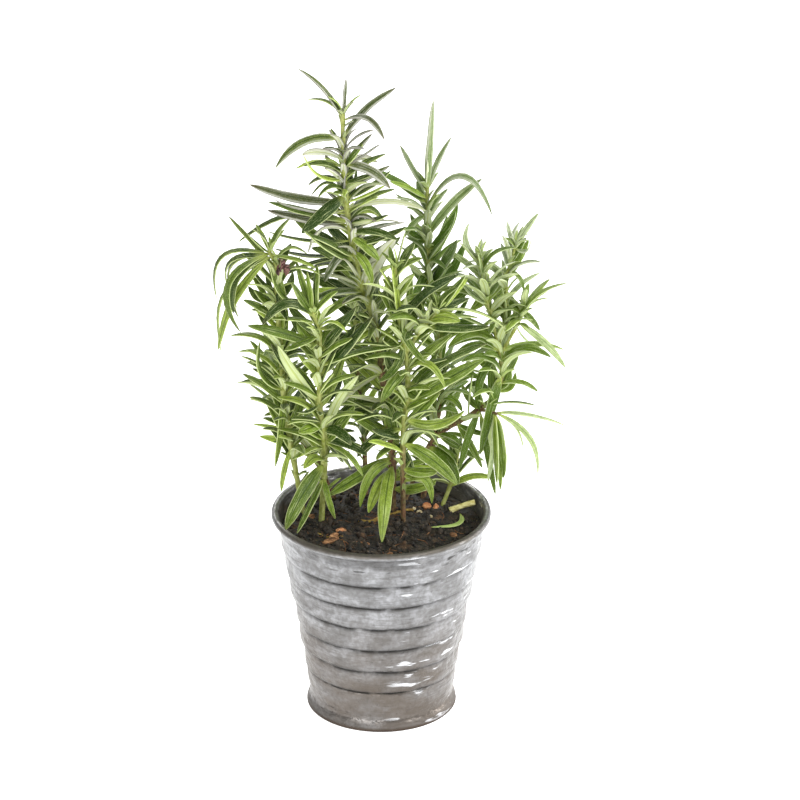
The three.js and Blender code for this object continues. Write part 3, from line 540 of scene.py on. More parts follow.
@dataclass(frozen=True)
class LeafFinish:
    """Colours of one stem's leaves, in screen values.

    Attributes:
        name, slot: Name of the material, and its material slot.
        deep, fresh: Upper side of the darkest and of the lightest leaves.
        bright: Upper side of the few leaves that the light comes through.
        aged, silver: Upper side and pale streaks of the greyer leaves higher up.
        dusk: Brown-purple of some leaves near the top, and the painted shade of the rolled edges there.
        aged_from, aged_to: Heights between which the leaves turn grey.
        under: Underside, pale with felt.
        margin: Rolled edge, streaks and hairs of the green leaves.
        root: Stalk end and the rib beneath.
        tip, tip_share: Colour that the tips turn to, and how far.
        young: Small young leaves.
        streaks: Streaks over half the width, spots over the length, and how far leaves differ.
        hair_size: Distance between the hairs.
        roughness: Roughness of the upper side and the underside.
    """

    name: str
    slot: str
    deep: Colour = (32, 54, 3)
    fresh: Colour = (116, 140, 42)
    bright: Colour = (168, 190, 74)
    aged: Colour = (92, 98, 58)
    dusk: Colour = (70, 60, 58)
    silver: Colour = (224, 224, 214)
    aged_from: float = 190
    aged_to: float = 270
    under: Colour = (190, 200, 150)
    margin: Colour = (214, 224, 160)
    root: Colour = (160, 172, 84)
    tip: Colour = (92, 70, 48)
    tip_share: float = 0.4
    young: Colour = (150, 172, 84)
    streaks: Place = (8, 3.5, 40)
    hair_size: float = 0.55
    roughness: Pair = (0.42, 0.85)

    def make(self) -> Material:
        """Builds the finish.

        Returns:
            Material with a felted underside, a groove, rolled edges and a streaked upper side.
        """
        recipe = Recipe(self.name)
        step, times, value, blend = recipe.step, recipe.times, recipe.value, recipe.blend
        across, along = recipe.math("ABSOLUTE", value("across")), value("along")
        warm, under, young = value("warm"), value("under"), value("young")
        hairs = step(recipe.cells(self.hair_size), 0.34, 0.1)
        streak = recipe.grain(*self.streaks)
        high = times(step(recipe.height(), self.aged_from, self.aged_to), step(warm, 0.7, 0.55))
        pale = blend(high, self.margin, self.silver)
        face = recipe.layers(
            blend(recipe.math("POWER", value("tone"), 1.4), self.deep, self.fresh),
            # painted light that comes through the warmest leaves
            (step(warm, 0.74, 0.98, 0.85), self.bright),
            (times(high, 0.7), self.aged),
            (times(step(warm, 0.45, 0.1, 0.45), high), self.dusk),
            (step(young, 0, 1, 0.5), self.young),
            (times(recipe.spots(2.2, 3, 0.34, 0.66), 0.3), self.deep),
            (step(streak, 0.48, 0.34, 0.6), self.deep),
            (step(streak, 0.54, 0.7, 0.38), pale),
            (times(hairs, 0.3), pale),
            # painted shade in the groove over the midrib
            (step(across, 0.14, 0.03, 0.7), self.deep),
            (times(step(across, 0.5, 0.75, 0.4), high), self.silver),
            # rolled edges: pale felt low down, painted shade on the leaves higher up
            (step(across, 0.86, 0.99, 0.65), blend(high, self.margin, self.dusk)),
        )
        felt = recipe.layers(
            blend(times(hairs, 0.4), self.under, self.margin),
            (step(streak, 0.5, 0.3, 0.4), self.fresh),
            (times(high, 0.5), self.silver),
            (step(across, 0.2, 0.06, 0.75), self.root),
            (step(young, 0, 1, 0.6), self.young),
            # edges beneath turn green, with painted shade on the leaves higher up
            (step(across, 0.78, 0.95, 0.65), blend(high, self.fresh, self.dusk)),
        )
        recipe.give("Base Color", recipe.layers(
            blend(step(under, 0.4, 0.6), face, felt),
            (step(along, 0.2, 0.04, 0.75), self.root),
            (times(step(along, 0.84, 1.0, self.tip_share), step(warm, 0.7, 0.2)), self.tip),
        ))
        recipe.give("Roughness", recipe.between(under, *self.roughness))
        recipe.bump(hairs, 0.1, 0.5)
        recipe.bump(streak, 0.25, 0.5)
        recipe.set(Specular_IOR_Level=0.2)
        return recipe.material


@dataclass(frozen=True)
class WoodFinish:
    """Colours of a stem: bark low down and green skin above it, in screen values."""

    name: str = "stem_skin"
    bark: Colour = (118, 84, 60)
    bark_dark: Colour = (66, 44, 34)
    skin: Colour = (128, 138, 56)
    skin_pale: Colour = (172, 176, 112)

    def make(self) -> Material:
        """Builds the finish.

        Returns:
            Material of furrowed bark where a vertex is woody, and downy green skin elsewhere.
        """
        recipe = Recipe(self.name)
        furrow = recipe.spots(0.8, 4, 0.35, 0.65, stretch=(1, 1, 7))
        mottle = recipe.spots(2.2, 3, 0.3, 0.7)
        bark = recipe.blend(furrow, self.bark_dark, self.bark)
        bark = recipe.blend(recipe.times(mottle, 0.25), bark, self.skin_pale)
        skin = recipe.blend(recipe.times(mottle, 0.8), self.skin, self.skin_pale)
        recipe.give("Base Color", recipe.blend(recipe.value("woody"), skin, bark))
        recipe.bump(furrow, 0.25, 0.6)
        recipe.set(Roughness=0.75, Specular_IOR_Level=0.3)
        return recipe.material


@dataclass(frozen=True)
class SoilFinish:
    """Moist dark peat with brown specks and paler fibres, in screen values."""

    name: str = "moist_peat"
    dark: Colour = (20, 19, 17)
    brown: Colour = (62, 54, 44)
    warm: Colour = (98, 70, 46)
    speck: Colour = (140, 122, 94)
    roughness: Pair = (0.6, 0.95)

    def make(self) -> Material:
        """Builds the finish.

        Returns:
            Material of coarse and fine noise, with damp patches that shine a little.
        """
        recipe = Recipe(self.name)
        coarse = recipe.spots(3.5, 4, 0.38, 0.68)
        dry = recipe.blend(recipe.spots(11, 3, 0.52, 0.66, 0.6), self.brown, self.warm)
        recipe.give("Base Color", recipe.layers(
            recipe.blend(coarse, self.dark, dry),
            (recipe.times(recipe.spots(0.9, 3, 0.4, 0.7), 0.5), self.dark),
            (recipe.spots(1.4, 2, 0.66, 0.74, 0.6), self.speck),
            (recipe.value("tone"), self.brown),
        ))
        recipe.give("Roughness", recipe.between(coarse, *self.roughness))
        recipe.bump(recipe.noise(0.7, 5), 0.6, 0.8)
        recipe.set(Specular_IOR_Level=0.35)
        return recipe.material


@dataclass(frozen=True)
class BarkFinish:
    """Chips of bark and dry twig, in screen values."""

    name: str
    light: Colour = (176, 132, 92)
    dark: Colour = (72, 48, 32)

    def make(self) -> Material:
        """Builds the finish.

        Returns:
            Material whose grain is drawn out along the chip, with dark pores.
        """
        recipe = Recipe(self.name)
        grain = recipe.spots(0.9, 4, 0.35, 0.68, stretch=(4, 2, 1))
        pores = recipe.times(recipe.spots(3.0, 3, 0.35, 0.65), 0.45)
        recipe.give("Base Color", recipe.layers(self.dark, (grain, self.light), (pores, self.dark)))
        recipe.bump(grain, 0.4, 0.8)
        recipe.set(Roughness=0.85, Specular_IOR_Level=0.25)
        return recipe.material


@dataclass(frozen=True)
class ZincFinish:
    """Weathered galvanised sheet, in screen values."""

    name: str = "galvanised_steel"
    light: Colour = (160, 161, 164)
    mid: Colour = (122, 122, 123)
    dull: Colour = (84, 82, 78)
    # dark of the dirt streaks and specks, and of the painted shade in the creases and at the neck
    grime_and_shade: Colour = (34, 32, 30)
    stain: Colour = (94, 85, 76)
    rim: Colour = (86, 80, 70)
    # colour of the painted shade down the inside of the wall
    lining: Colour = (120, 118, 108)
    # white of the painted highlight on the pot's right side
    painted_highlight: Colour = (236, 238, 242)
    hem: Colour = (72, 60, 50)
    highlight_from: Pair = (-4, 14)
    roughness: Pair = (0.3, 0.46)

    def make(self) -> Material:
        """Builds the finish.

        Returns:
            Material of mottled zinc with painted shade in its creases and inside, polished patches with a
            painted highlight, and a stained foot.
        """
        recipe = Recipe(self.name)
        step, times, value, spots = recipe.step, recipe.times, recipe.value, recipe.spots
        height = recipe.height()
        cloud = spots(13, 4, 0.34, 0.66, stretch=(1, 1, 0.6))
        spangle = spots(2.2, 4, 0.34, 0.66)
        scratch = spots(1.6, 4, 0.46, 0.72, stretch=(5, 5, 0.6))
        streak = spots(2.4, 4, 0.56, 0.74, stretch=(1, 1, 5))
        patches = times(spots(16, 3, 0.3, 0.62, stretch=(1.6, 1.6, 0.8)), 0.5)
        low = times(step(height, 82, 20, 0.85), recipe.math("ADD", patches, 0.5))
        neck = times(step(height, 92, 96), step(height, 101, 98))
        dash = spots(4.5, 2, 0.6, 0.66, 0.8, (2.4, 2.4, 0.5))
        sideways = recipe.node("ShaderNodeSeparateXYZ", recipe.place).outputs["X"]
        right = step(sideways, *(MM * place for place in self.highlight_from))
        glint = times(spots(8, 3, 0.62, 0.68, stretch=(2.6, 2.6, 0.5)), right)
        recipe.give("Base Color", recipe.layers(
            recipe.blend(cloud, self.mid, self.light),
            (times(spangle, 0.4), self.dull),
            (times(scratch, 0.4), self.dull),
            (low, self.stain),
            (times(streak, step(height, 85, 15, 0.15)), self.grime_and_shade),
            # painted shadow under the rim: dark dashes at the neck
            (times(dash, neck), self.grime_and_shade),
            (times(spots(1.3, 3, 0.66, 0.76), 0.5), self.grime_and_shade),
            # painted highlight: white patches on the right side, where the key light falls; they are also
            # less rough
            (times(glint, 0.75), self.painted_highlight),
            # painted shade in the creases over the grooves and under the rim
            (times(value("crease"), spots(8, 3, 0.26, 0.54)), self.grime_and_shade),
            (step(height, 2.6, 1.0, 0.9), self.hem),
            (value("rim"), self.rim),
            # painted shade down the inside of the wall, darker below the top
            (value("inside"), self.lining),
        ))
        rough = recipe.between(scratch, *self.roughness)
        rough = recipe.math("SUBTRACT", rough, times(glint, 0.14))
        dull = recipe.math("ADD", step(height, 5.5, 3.0, 0.3), times(value("rim"), 0.25))
        recipe.give("Roughness", recipe.math("ADD", rough, dull))
        recipe.bump(spangle, 0.08, 0.45)
        recipe.bump(cloud, 0.9, 0.6)
        recipe.set(Metallic=0.78)
        return recipe.material


MADE: dict[str, Material] = {}


def material_of(finish: LeafFinish | WoodFinish | SoilFinish | BarkFinish | ZincFinish) -> Material:
    """Material of a finish, made when it is first asked for."""
    if finish.name not in MADE:
        MADE[finish.name] = finish.make()
    return MADE[finish.name]


# Leaf shape and place


class LeafKind(Enum):
    """What a leaf is, with the value of young that its surface carries."""

    FULL = 0.0
    YOUNG = 1.0


def leaf_width_share(t: Array) -> Array:
    """Share of the full width: swells as a sine from the root, then 1 - u^2.2, to the power 0.7."""
    opened = np.sin(0.5 * np.pi * np.minimum(1, t / SWELL_END))
    closing = np.maximum(0, (t - NARROW_START) / (1 - NARROW_START))
    return mix(LEAF_ROOT_SHARE, 1, opened) * (1 - closing**NARROW_POWER) ** TIP_POWER


@dataclass
class Leaves:
    """Leaves as arrays with one row for each leaf.

    Attributes:
        foot: Point in the stem where each leaf starts.
        along: From the foot to the tip.
        bow: How far the middle stands above the straight line.
        width: Greatest width.
        roll: Turn of the upper face about the leaf's own line, in radians.
        sway: How far the middle stands to the side of the straight line.
    """

    foot: Array
    along: Array
    bow: Array
    width: Array
    roll: Array
    sway: Array

    def frames(self, t: Array) -> tuple[Array, Array, Array, Array]:
        """Centre line and directions at shares of the length.

        The centre is foot + 2t(1 - t) middle + t^2 along, with middle half of along raised by twice
        the bow and set aside by twice the sway. The heading is its slope, and across is level before
        the roll turns it.

        Args:
            t: Shares of the length.

        Returns:
            Centre, across, up and heading, each indexed by leaf, share and axis.
        """
        up_axis = np.array([0.0, 0.0, 1.0])
        along, t = self.along[:, None], t[None, :, None]
        length = np.linalg.norm(along, axis=-1, keepdims=True)
        lift = unit(up_axis - along * (along[..., 2:] / length**2))
        level = unit(np.cross(along, up_axis))
        middle = (0.5 * along + lift * (2 * self.bow[:, None, None])
                  + level * (2 * self.sway[:, None, None]))
        centre = self.foot[:, None] + middle * (2 * t * (1 - t)) + along * t**2
        heading = unit(middle * (2 - 4 * t) + along * (2 * t))
        level = unit(level - heading * np.sum(level * heading, axis=-1, keepdims=True))
        roll = self.roll[:, None, None]
        across = level * np.cos(roll) + np.cross(heading, level) * np.sin(roll)
        return centre, across, np.cross(across, heading), heading

    def samples(self, t: Array) -> Array:
        """Three points across each leaf at each share, indexed by leaf, point and axis."""
        centre, across, up, _ = self.frames(t)
        half = 0.5 * self.width[:, None, None] * leaf_width_share(t)[None, :, None]
        centre = centre + up * (SAMPLE_LIFT * LEAF_RIDGE)
        sides = np.array([-1.0, 0.0, 1.0])[None, None, :, None]
        return (centre[:, :, None] + (across * half)[:, :, None] * sides).reshape(len(self.bow), -1, 3)


LEAF_VALUES = tuple(Leaves.__dataclass_fields__)


def joined(groups: list[Leaves]) -> Leaves:
    """One set of leaves from several."""
    return Leaves(*(np.concatenate([getattr(group, name) for group in groups]) for name in LEAF_VALUES))


@dataclass(frozen=True)
class Rule:
    """Pairs of leaves up a stem.

    Attributes:
        start: Height of the first pair.
        end: Height of the last pair.
        spacing: Height between pairs.
        length: Leaf length at both ends.
        rise: Rise above level in degrees at both ends.
        width: Leaf width at both ends.
        first: Heading of the first pair in degrees.
        young: Whether a shorter young leaf stands up beside each pair.
    """

    start: float
    end: float
    spacing: float
    length: Pair
    rise: Pair
    width: Pair
    first: float
    young: bool = False

    def rows(self, random: PartRandom) -> list[Row]:
        """Rows of leaves, with small differences from leaf to leaf.

        Args:
            random: Where the differences come from.

        Returns:
            One row for each leaf.
        """
        rows, turn, z = [], self.first, self.start
        while z <= self.end + HEIGHT_SLACK:
            share = (z - self.start) / (self.end - self.start)
            for k in range(3 if self.young else 2):
                young = k == 2
                side = YOUNG_TURN if young else 2 * QUARTER_TURN * k
                heading = math.radians(turn + side + random.jitter(HEADING_JITTER))
                steeper = YOUNG_RISE if young else 0
                rise = math.radians(mix(*self.rise, share) + steeper + random.jitter(RISE_JITTER))
                full_length = mix(*self.length, share) * random.between(LENGTH_SHARES)
                full_width = mix(*self.width, share) * random.between(WIDTH_SHARES)
                length = full_length * (YOUNG_SIZE if young else 1)
                width = full_width * (YOUNG_WIDTH if young else 1)
                bow = length * random.between(BOW_SHARES)
                roll = random.jitter(ROLL_RANGE)
                flat = length * math.cos(rise)
                rows.append((z + FOOT_JITTER * random.draw(), flat * math.cos(heading),
                             flat * math.sin(heading), length * math.sin(rise), bow, width, roll))
            turn += QUARTER_TURN + random.jitter(TURN_JITTER)
            z += self.spacing
        return rows


@dataclass(frozen=True)
class Shoot:
    """A stem, or a branch of one, with its leaves.

    A leaf's row holds the height of its foot, how far its tip lies to the right, to the back and up,
    how far its middle bows out, its width, and by how many degrees its upper face turns to the front.

    Attributes:
        route: Points from the soil, or from the stem, to the tip.
        radius: Radius at both ends.
        leaves: Rows of the leaves that give the plant its outline.
        rule: Rule for the pairs that fill the rest.
        branches: Side shoots.
        node: Node of the part, on a stem.
        finish: Colours of its leaves, on a stem.
        wood_top: Height at which bark gives way to green skin.
        rooted: Whether it stands in the soil.
    """

    route: tuple[Place, ...]
    radius: Pair
    leaves: tuple[Row, ...] = ()
    rule: Rule | None = None
    branches: tuple[Shoot, ...] = ()
    node: str = ""
    finish: LeafFinish | None = None
    wood_top: float = 0.0
    rooted: bool = False

    def line(self, steps: int = FINE_STEPS) -> Array:
        """Smooth line through the route's points.

        Between two points it is the uniform spline 0.5 (2p1 + (p2 - p0)u + (2p0 - 5p1 + 4p2 - p3)u^2 +
        (3p1 - p0 - 3p2 + p3)u^3), with the route mirrored beyond both ends.

        Args:
            steps: Pieces between two route points.

        Returns:
            Points indexed by point and axis.
        """
        points = np.array(self.route, dtype=float)
        points = np.vstack([2 * points[0] - points[1], points, 2 * points[-1] - points[-2]])
        u = (np.arange(steps) / steps)[None, :, None]
        p0, p1, p2, p3 = (points[k:len(points) - 3 + k, None] for k in range(4))
        curve = 0.5 * (2 * p1 + (p2 - p0) * u + (2 * p0 - 5 * p1 + 4 * p2 - p3) * u**2
                       + (3 * p1 - p0 - 3 * p2 + p3) * u**3)
        return np.vstack([curve.reshape(-1, 3), points[-2]])


def point_at_height(line: Array, z: float) -> Array:
    """Point where a line first reaches a height, or its end.

    Args:
        line: Points of the line.
        z: The height.

    Returns:
        The point.
    """
    above = np.nonzero(line[1:, 2] >= z)[0]
    index = int(above[0]) + 1 if len(above) else len(line) - 1
    share = (z - line[index - 1, 2]) / (line[index, 2] - line[index - 1, 2])
    return line[index - 1] + (line[index] - line[index - 1]) * min(1.0, max(0.0, share))


def inner_radius(z: Array) -> Array:
    """Inside radius of the pot wall: foot radius + taper z + flare z^2, less the wall."""
    return WALL_FOOT_RADIUS + WALL_TAPER * z + WALL_FLARE * z * z - WALL_THICKNESS


def soil_height(x: Array, y: Array) -> Array:
    """Height of the soil: a low crown, and two products of sines that fade out at the wall."""
    share = np.minimum(1, np.hypot(x, y) / inner_radius(SOIL_EDGE_HEIGHT))
    lumps = sum(height * np.sin(a * x + a0) * np.sin(b * y + b0)
                for height, a, a0, b, b0 in (BROAD_LUMP, SMALL_LUMP))
    return SOIL_EDGE_HEIGHT + SOIL_CROWN * (1 - share * share) + lumps * (1 - share**LUMP_FADE)


class Crown:
    """Places leaves so that each keeps clear of the pot, the soil, the stems and the other leaves."""

    def __init__(self, stems: tuple[Shoot, ...]) -> None:
        """Lays out the lines of all stems and branches.

        Args:
            stems: The stems, each with its branches.
        """
        self.shoots = [(stem.node, shoot) for stem in stems for shoot in (stem, *stem.branches)]
        self.lines = [shoot.line() for _, shoot in self.shoots]
        names = [stem.node for stem in stems]
        self.number = {name: index for index, name in enumerate(names)}
        self.line_points = np.concatenate(self.lines)
        self.line_reach = np.concatenate([np.full(len(line), shoot.radius[0] + CLEAR_OF_STEM)
                                          for line, (_, shoot) in zip(self.lines, self.shoots)])
        self.line_node = np.concatenate([np.full(len(line), self.number[node])
                                         for line, (node, _) in zip(self.lines, self.shoots)])
        self.t = mix(SAMPLE_START, 1, np.arange(SAMPLE_COUNT) / (SAMPLE_COUNT - 1))
        self.free = np.repeat(self.t <= OWN_ROOT_FREE, 3)
        bends = np.array([(turn, tilt) for tilt in TILTS for turn in TURNS], dtype=float)
        effort = np.abs(bends) @ np.array([TURN_COST, TILT_COST])
        self.turn, self.tilt = np.radians(bends[np.argsort(effort, kind="stable")]).T
        self.random = np.random.default_rng(TINT_SEED)
        self.leaves: list[Leaves] = []
        self.owner: list[int] = []
        self.kind: list[LeafKind] = []
        self.tints: list[Pair] = []
        self.samples = np.zeros((0, 3 * SAMPLE_COUNT, 3))
        self.centres = np.zeros((0, 3))
        self.reaches = np.zeros(0)

    def bent(self, shoot: int, row: Row) -> Leaves:
        """A row's leaf in all its bends: turned about the upright through its foot, and tilted.

        Args:
            shoot: Number of the stem or branch.
            row: The leaf's row.

        Returns:
            The leaf once for each bend.
        """
        z, right, back, up, bow, width, roll = row
        flat, heading = math.hypot(right, back), math.atan2(back, right) + self.turn
        reach = flat * np.cos(self.tilt) - up * np.sin(self.tilt)
        rise = up * np.cos(self.tilt) + flat * np.sin(self.tilt)
        along = np.stack([reach * np.cos(heading), reach * np.sin(heading), rise], axis=-1)
        same = np.ones(len(along))
        foot = point_at_height(self.lines[shoot], z)[None] * same[:, None]
        facing = math.radians(-roll if right < 0 else roll)
        return Leaves(foot, along, bow * same, width * same, facing * same, 0 * same)

    def room_to_pot(self, samples: Array) -> Array:
        """Room between each leaf and the rim, wall and soil."""
        x, y, z = np.moveaxis(samples, -1, 0)
        reach = np.hypot(x, y)
        room = np.hypot(reach - RIM_RADIUS, z - RIM_HEIGHT) - CLEAR_OF_RIM
        low = (z < RIM_HEIGHT) & (reach < RIM_RADIUS + CLEAR_OF_RIM)
        inside = np.minimum(RIM_RADIUS - CLEAR_OF_RIM - reach, z - soil_height(x, y) - CLEAR_OF_SOIL)
        return np.where(low, np.minimum(room, inside), room).min(axis=-1)

    def room_around(self, samples: Array, node: int) -> tuple[float, float]:
        """Room between one leaf and the stems and leaves that stand already.

        Args:
            samples: The leaf's sample points.
            node: Number of its stem.

        Returns:
            Room to the other stems and their leaves, and room to its own stem's leaves.
        """
        foreign = self.line_node != node
        gaps = np.linalg.norm(samples[:, None] - self.line_points[None, foreign], axis=-1)
        others = (gaps - self.line_reach[None, foreign]).min()
        owner = np.array(self.owner, dtype=int)
        near = np.linalg.norm(samples[:, None] - self.centres[None], axis=-1)
        points, leaves = np.nonzero(near <= self.reaches[None] + CLEAR_OF_OTHERS + SEARCH_MARGIN)
        own = math.inf
        if len(points):
            gaps = np.linalg.norm(samples[points, None] - self.samples[leaves], axis=-1)
            strange = owner[leaves] != node
            if strange.any():
                others = min(others, gaps[strange].min() - CLEAR_OF_OTHERS)
            counted = ~strange[:, None] & ~self.free[points][:, None] & ~self.free[None]
            if counted.any():
                own = gaps[counted].min() - CLEAR_OF_OWN
        return others, own

    def place(self, shoot: int, row: Row, kind: LeafKind = LeafKind.FULL, strict: bool = False,
              tint: Pair | None = None) -> None:
        """Places a leaf at the first bend that is clear, or where its own stem leaves most room.

        Without such a bend the leaf is left out.

        Args:
            shoot: Number of the stem or branch.
            row: The leaf's row.
            kind: What the leaf is.
            strict: Whether the leaf must be clear of its own stem's leaves as well.
            tint: Its tone and warmth, where they aren't drawn.
        """
        node = self.number[self.shoots[shoot][0]]
        bends = self.bent(shoot, row)
        samples = bends.samples(self.t)
        to_pot = self.room_to_pot(samples)
        best, best_room = -1, -math.inf
        for bend in np.nonzero(to_pot > 0)[0]:
            others, own = self.room_around(samples[bend], node)
            if others > 0 and (best < 0 or own > best_room):
                best, best_room = int(bend), own
            if best >= 0 and best_room > 0:
                break
        if best < 0 or (strict and best_room <= 0):
            return
        chosen = samples[best]
        centre = chosen.mean(axis=0)
        self.samples = np.concatenate([self.samples, chosen[None]])
        self.centres = np.vstack([self.centres, centre])
        self.reaches = np.append(self.reaches, np.linalg.norm(chosen - centre, axis=-1).max())
        self.owner.append(node)
        self.kind.append(kind)
        self.tints.append(tint or tuple(self.random.uniform(0, 1, 2)))
        self.leaves.append(Leaves(*(getattr(bends, name)[best:best + 1] for name in LEAF_VALUES)))

    def grow(self) -> None:
        """Places the part's leaves: the outline's leaves on all stems, and then the rules' pairs."""
        for index, (node, shoot) in enumerate(self.shoots):
            for row in shoot.leaves:
                self.place(index, row, tint=TINTS.get(node, {}).get(row[:3]))
        for index, (_, shoot) in enumerate(self.shoots):
            if shoot.rule:
                for row in shoot.rule.rows(PartRandom(FIRST_SEED + SEED_STEP * index)):
                    self.place(index, row)
        log.info("leaves of the part: %d", len(self.leaves))


# Stems and leaves


GREY_GREEN = LeafFinish("leaf_grey_green", "leaf_grey_green", under=(182, 186, 152))
FRESH_GREEN = LeafFinish("leaf_green", "leaf_green", aged_from=235, aged_to=330, tip_share=0.2)
FAR_GREEN = LeafFinish("leaf_green_far", "leaf_green", deep=(68, 92, 8), fresh=(126, 148, 54),
                       bright=(190, 202, 162), aged=(198, 206, 182), dusk=(186, 194, 168), aged_from=205,
                       aged_to=245, under=(190, 202, 150), margin=(204, 214, 166), tip_share=0.1)
DEEP_GREEN = LeafFinish("leaf_deep_green", "leaf_deep_green", deep=(58, 82, 14), fresh=(118, 142, 48),
                        aged_from=230, aged_to=330, tip_share=0.1)
PALE_GREEN = LeafFinish("leaf_pale_green", "leaf_pale_green", deep=(66, 94, 20), fresh=(122, 150, 58),
                        bright=(156, 182, 72), aged=(150, 160, 122), dusk=(128, 134, 104), aged_from=200,
                        aged_to=300, under=(196, 206, 160), margin=(208, 216, 174), tip_share=0.1)

# Tone and warmth of single leaves, by their stem and the first three values of their row.
TINTS = {
    "stem_main": {
        (124, -5, -42): (0.6, 0.86), (129, -32, -18): (0.7, 0.5), (122, -12, -22): (0.9, 0.9),
        (126, -12, -14): (0.8, 0.8), (115, 23, 4): (0.9, 0.86), (111, 22, -6): (0.9, 0.8),
        (118, 20, 10): (0.7, 0.8), (282, -21, -8): (1, 1), (274, -21, -14): (0, 0.72),
        (222, 16, -4): (1, 0.5), (218, -17, 5): (0, 0.72), (226, -22, 9): (0.1, 0.72),
        (248, 2, 5): (0, 0.72), (244, -14, 6): (0.1, 0.72), (272, 4, 4): (0, 0.72), (268, 6, 6): (0, 0.72),
    },
    "stem_left": {
        (132, -19, -26): (0.5, 0.3), (215, -26, -8): (0.1, 0.2), (199, -35, -4): (0.6, 0.6),
        (183, 27, -8): (0, 0.1),
    },
    "stem_centre_right": {
        (142, 27, -12): (0.7, 0.78), (165, 38, -4): (0.7, 0.75), (169, 39, 2): (0.3, 0.3),
        (120, 15, -8): (0.8, 0.8), (124, 16, 6): (0.8, 0.8),
    },
    "stem_far_right": {
        (165, -10, -16): (0, 0.3), (176, -14, -6): (0, 0.3), (146, 8, -16): (0.2, 0.3),
        (191, 25, -2): (1, 0.88), (148, 35, 3): (1, 0.9), (176, 32, 2): (1, 0.8), (148, 23, -3): (1, 0.86),
    },
}

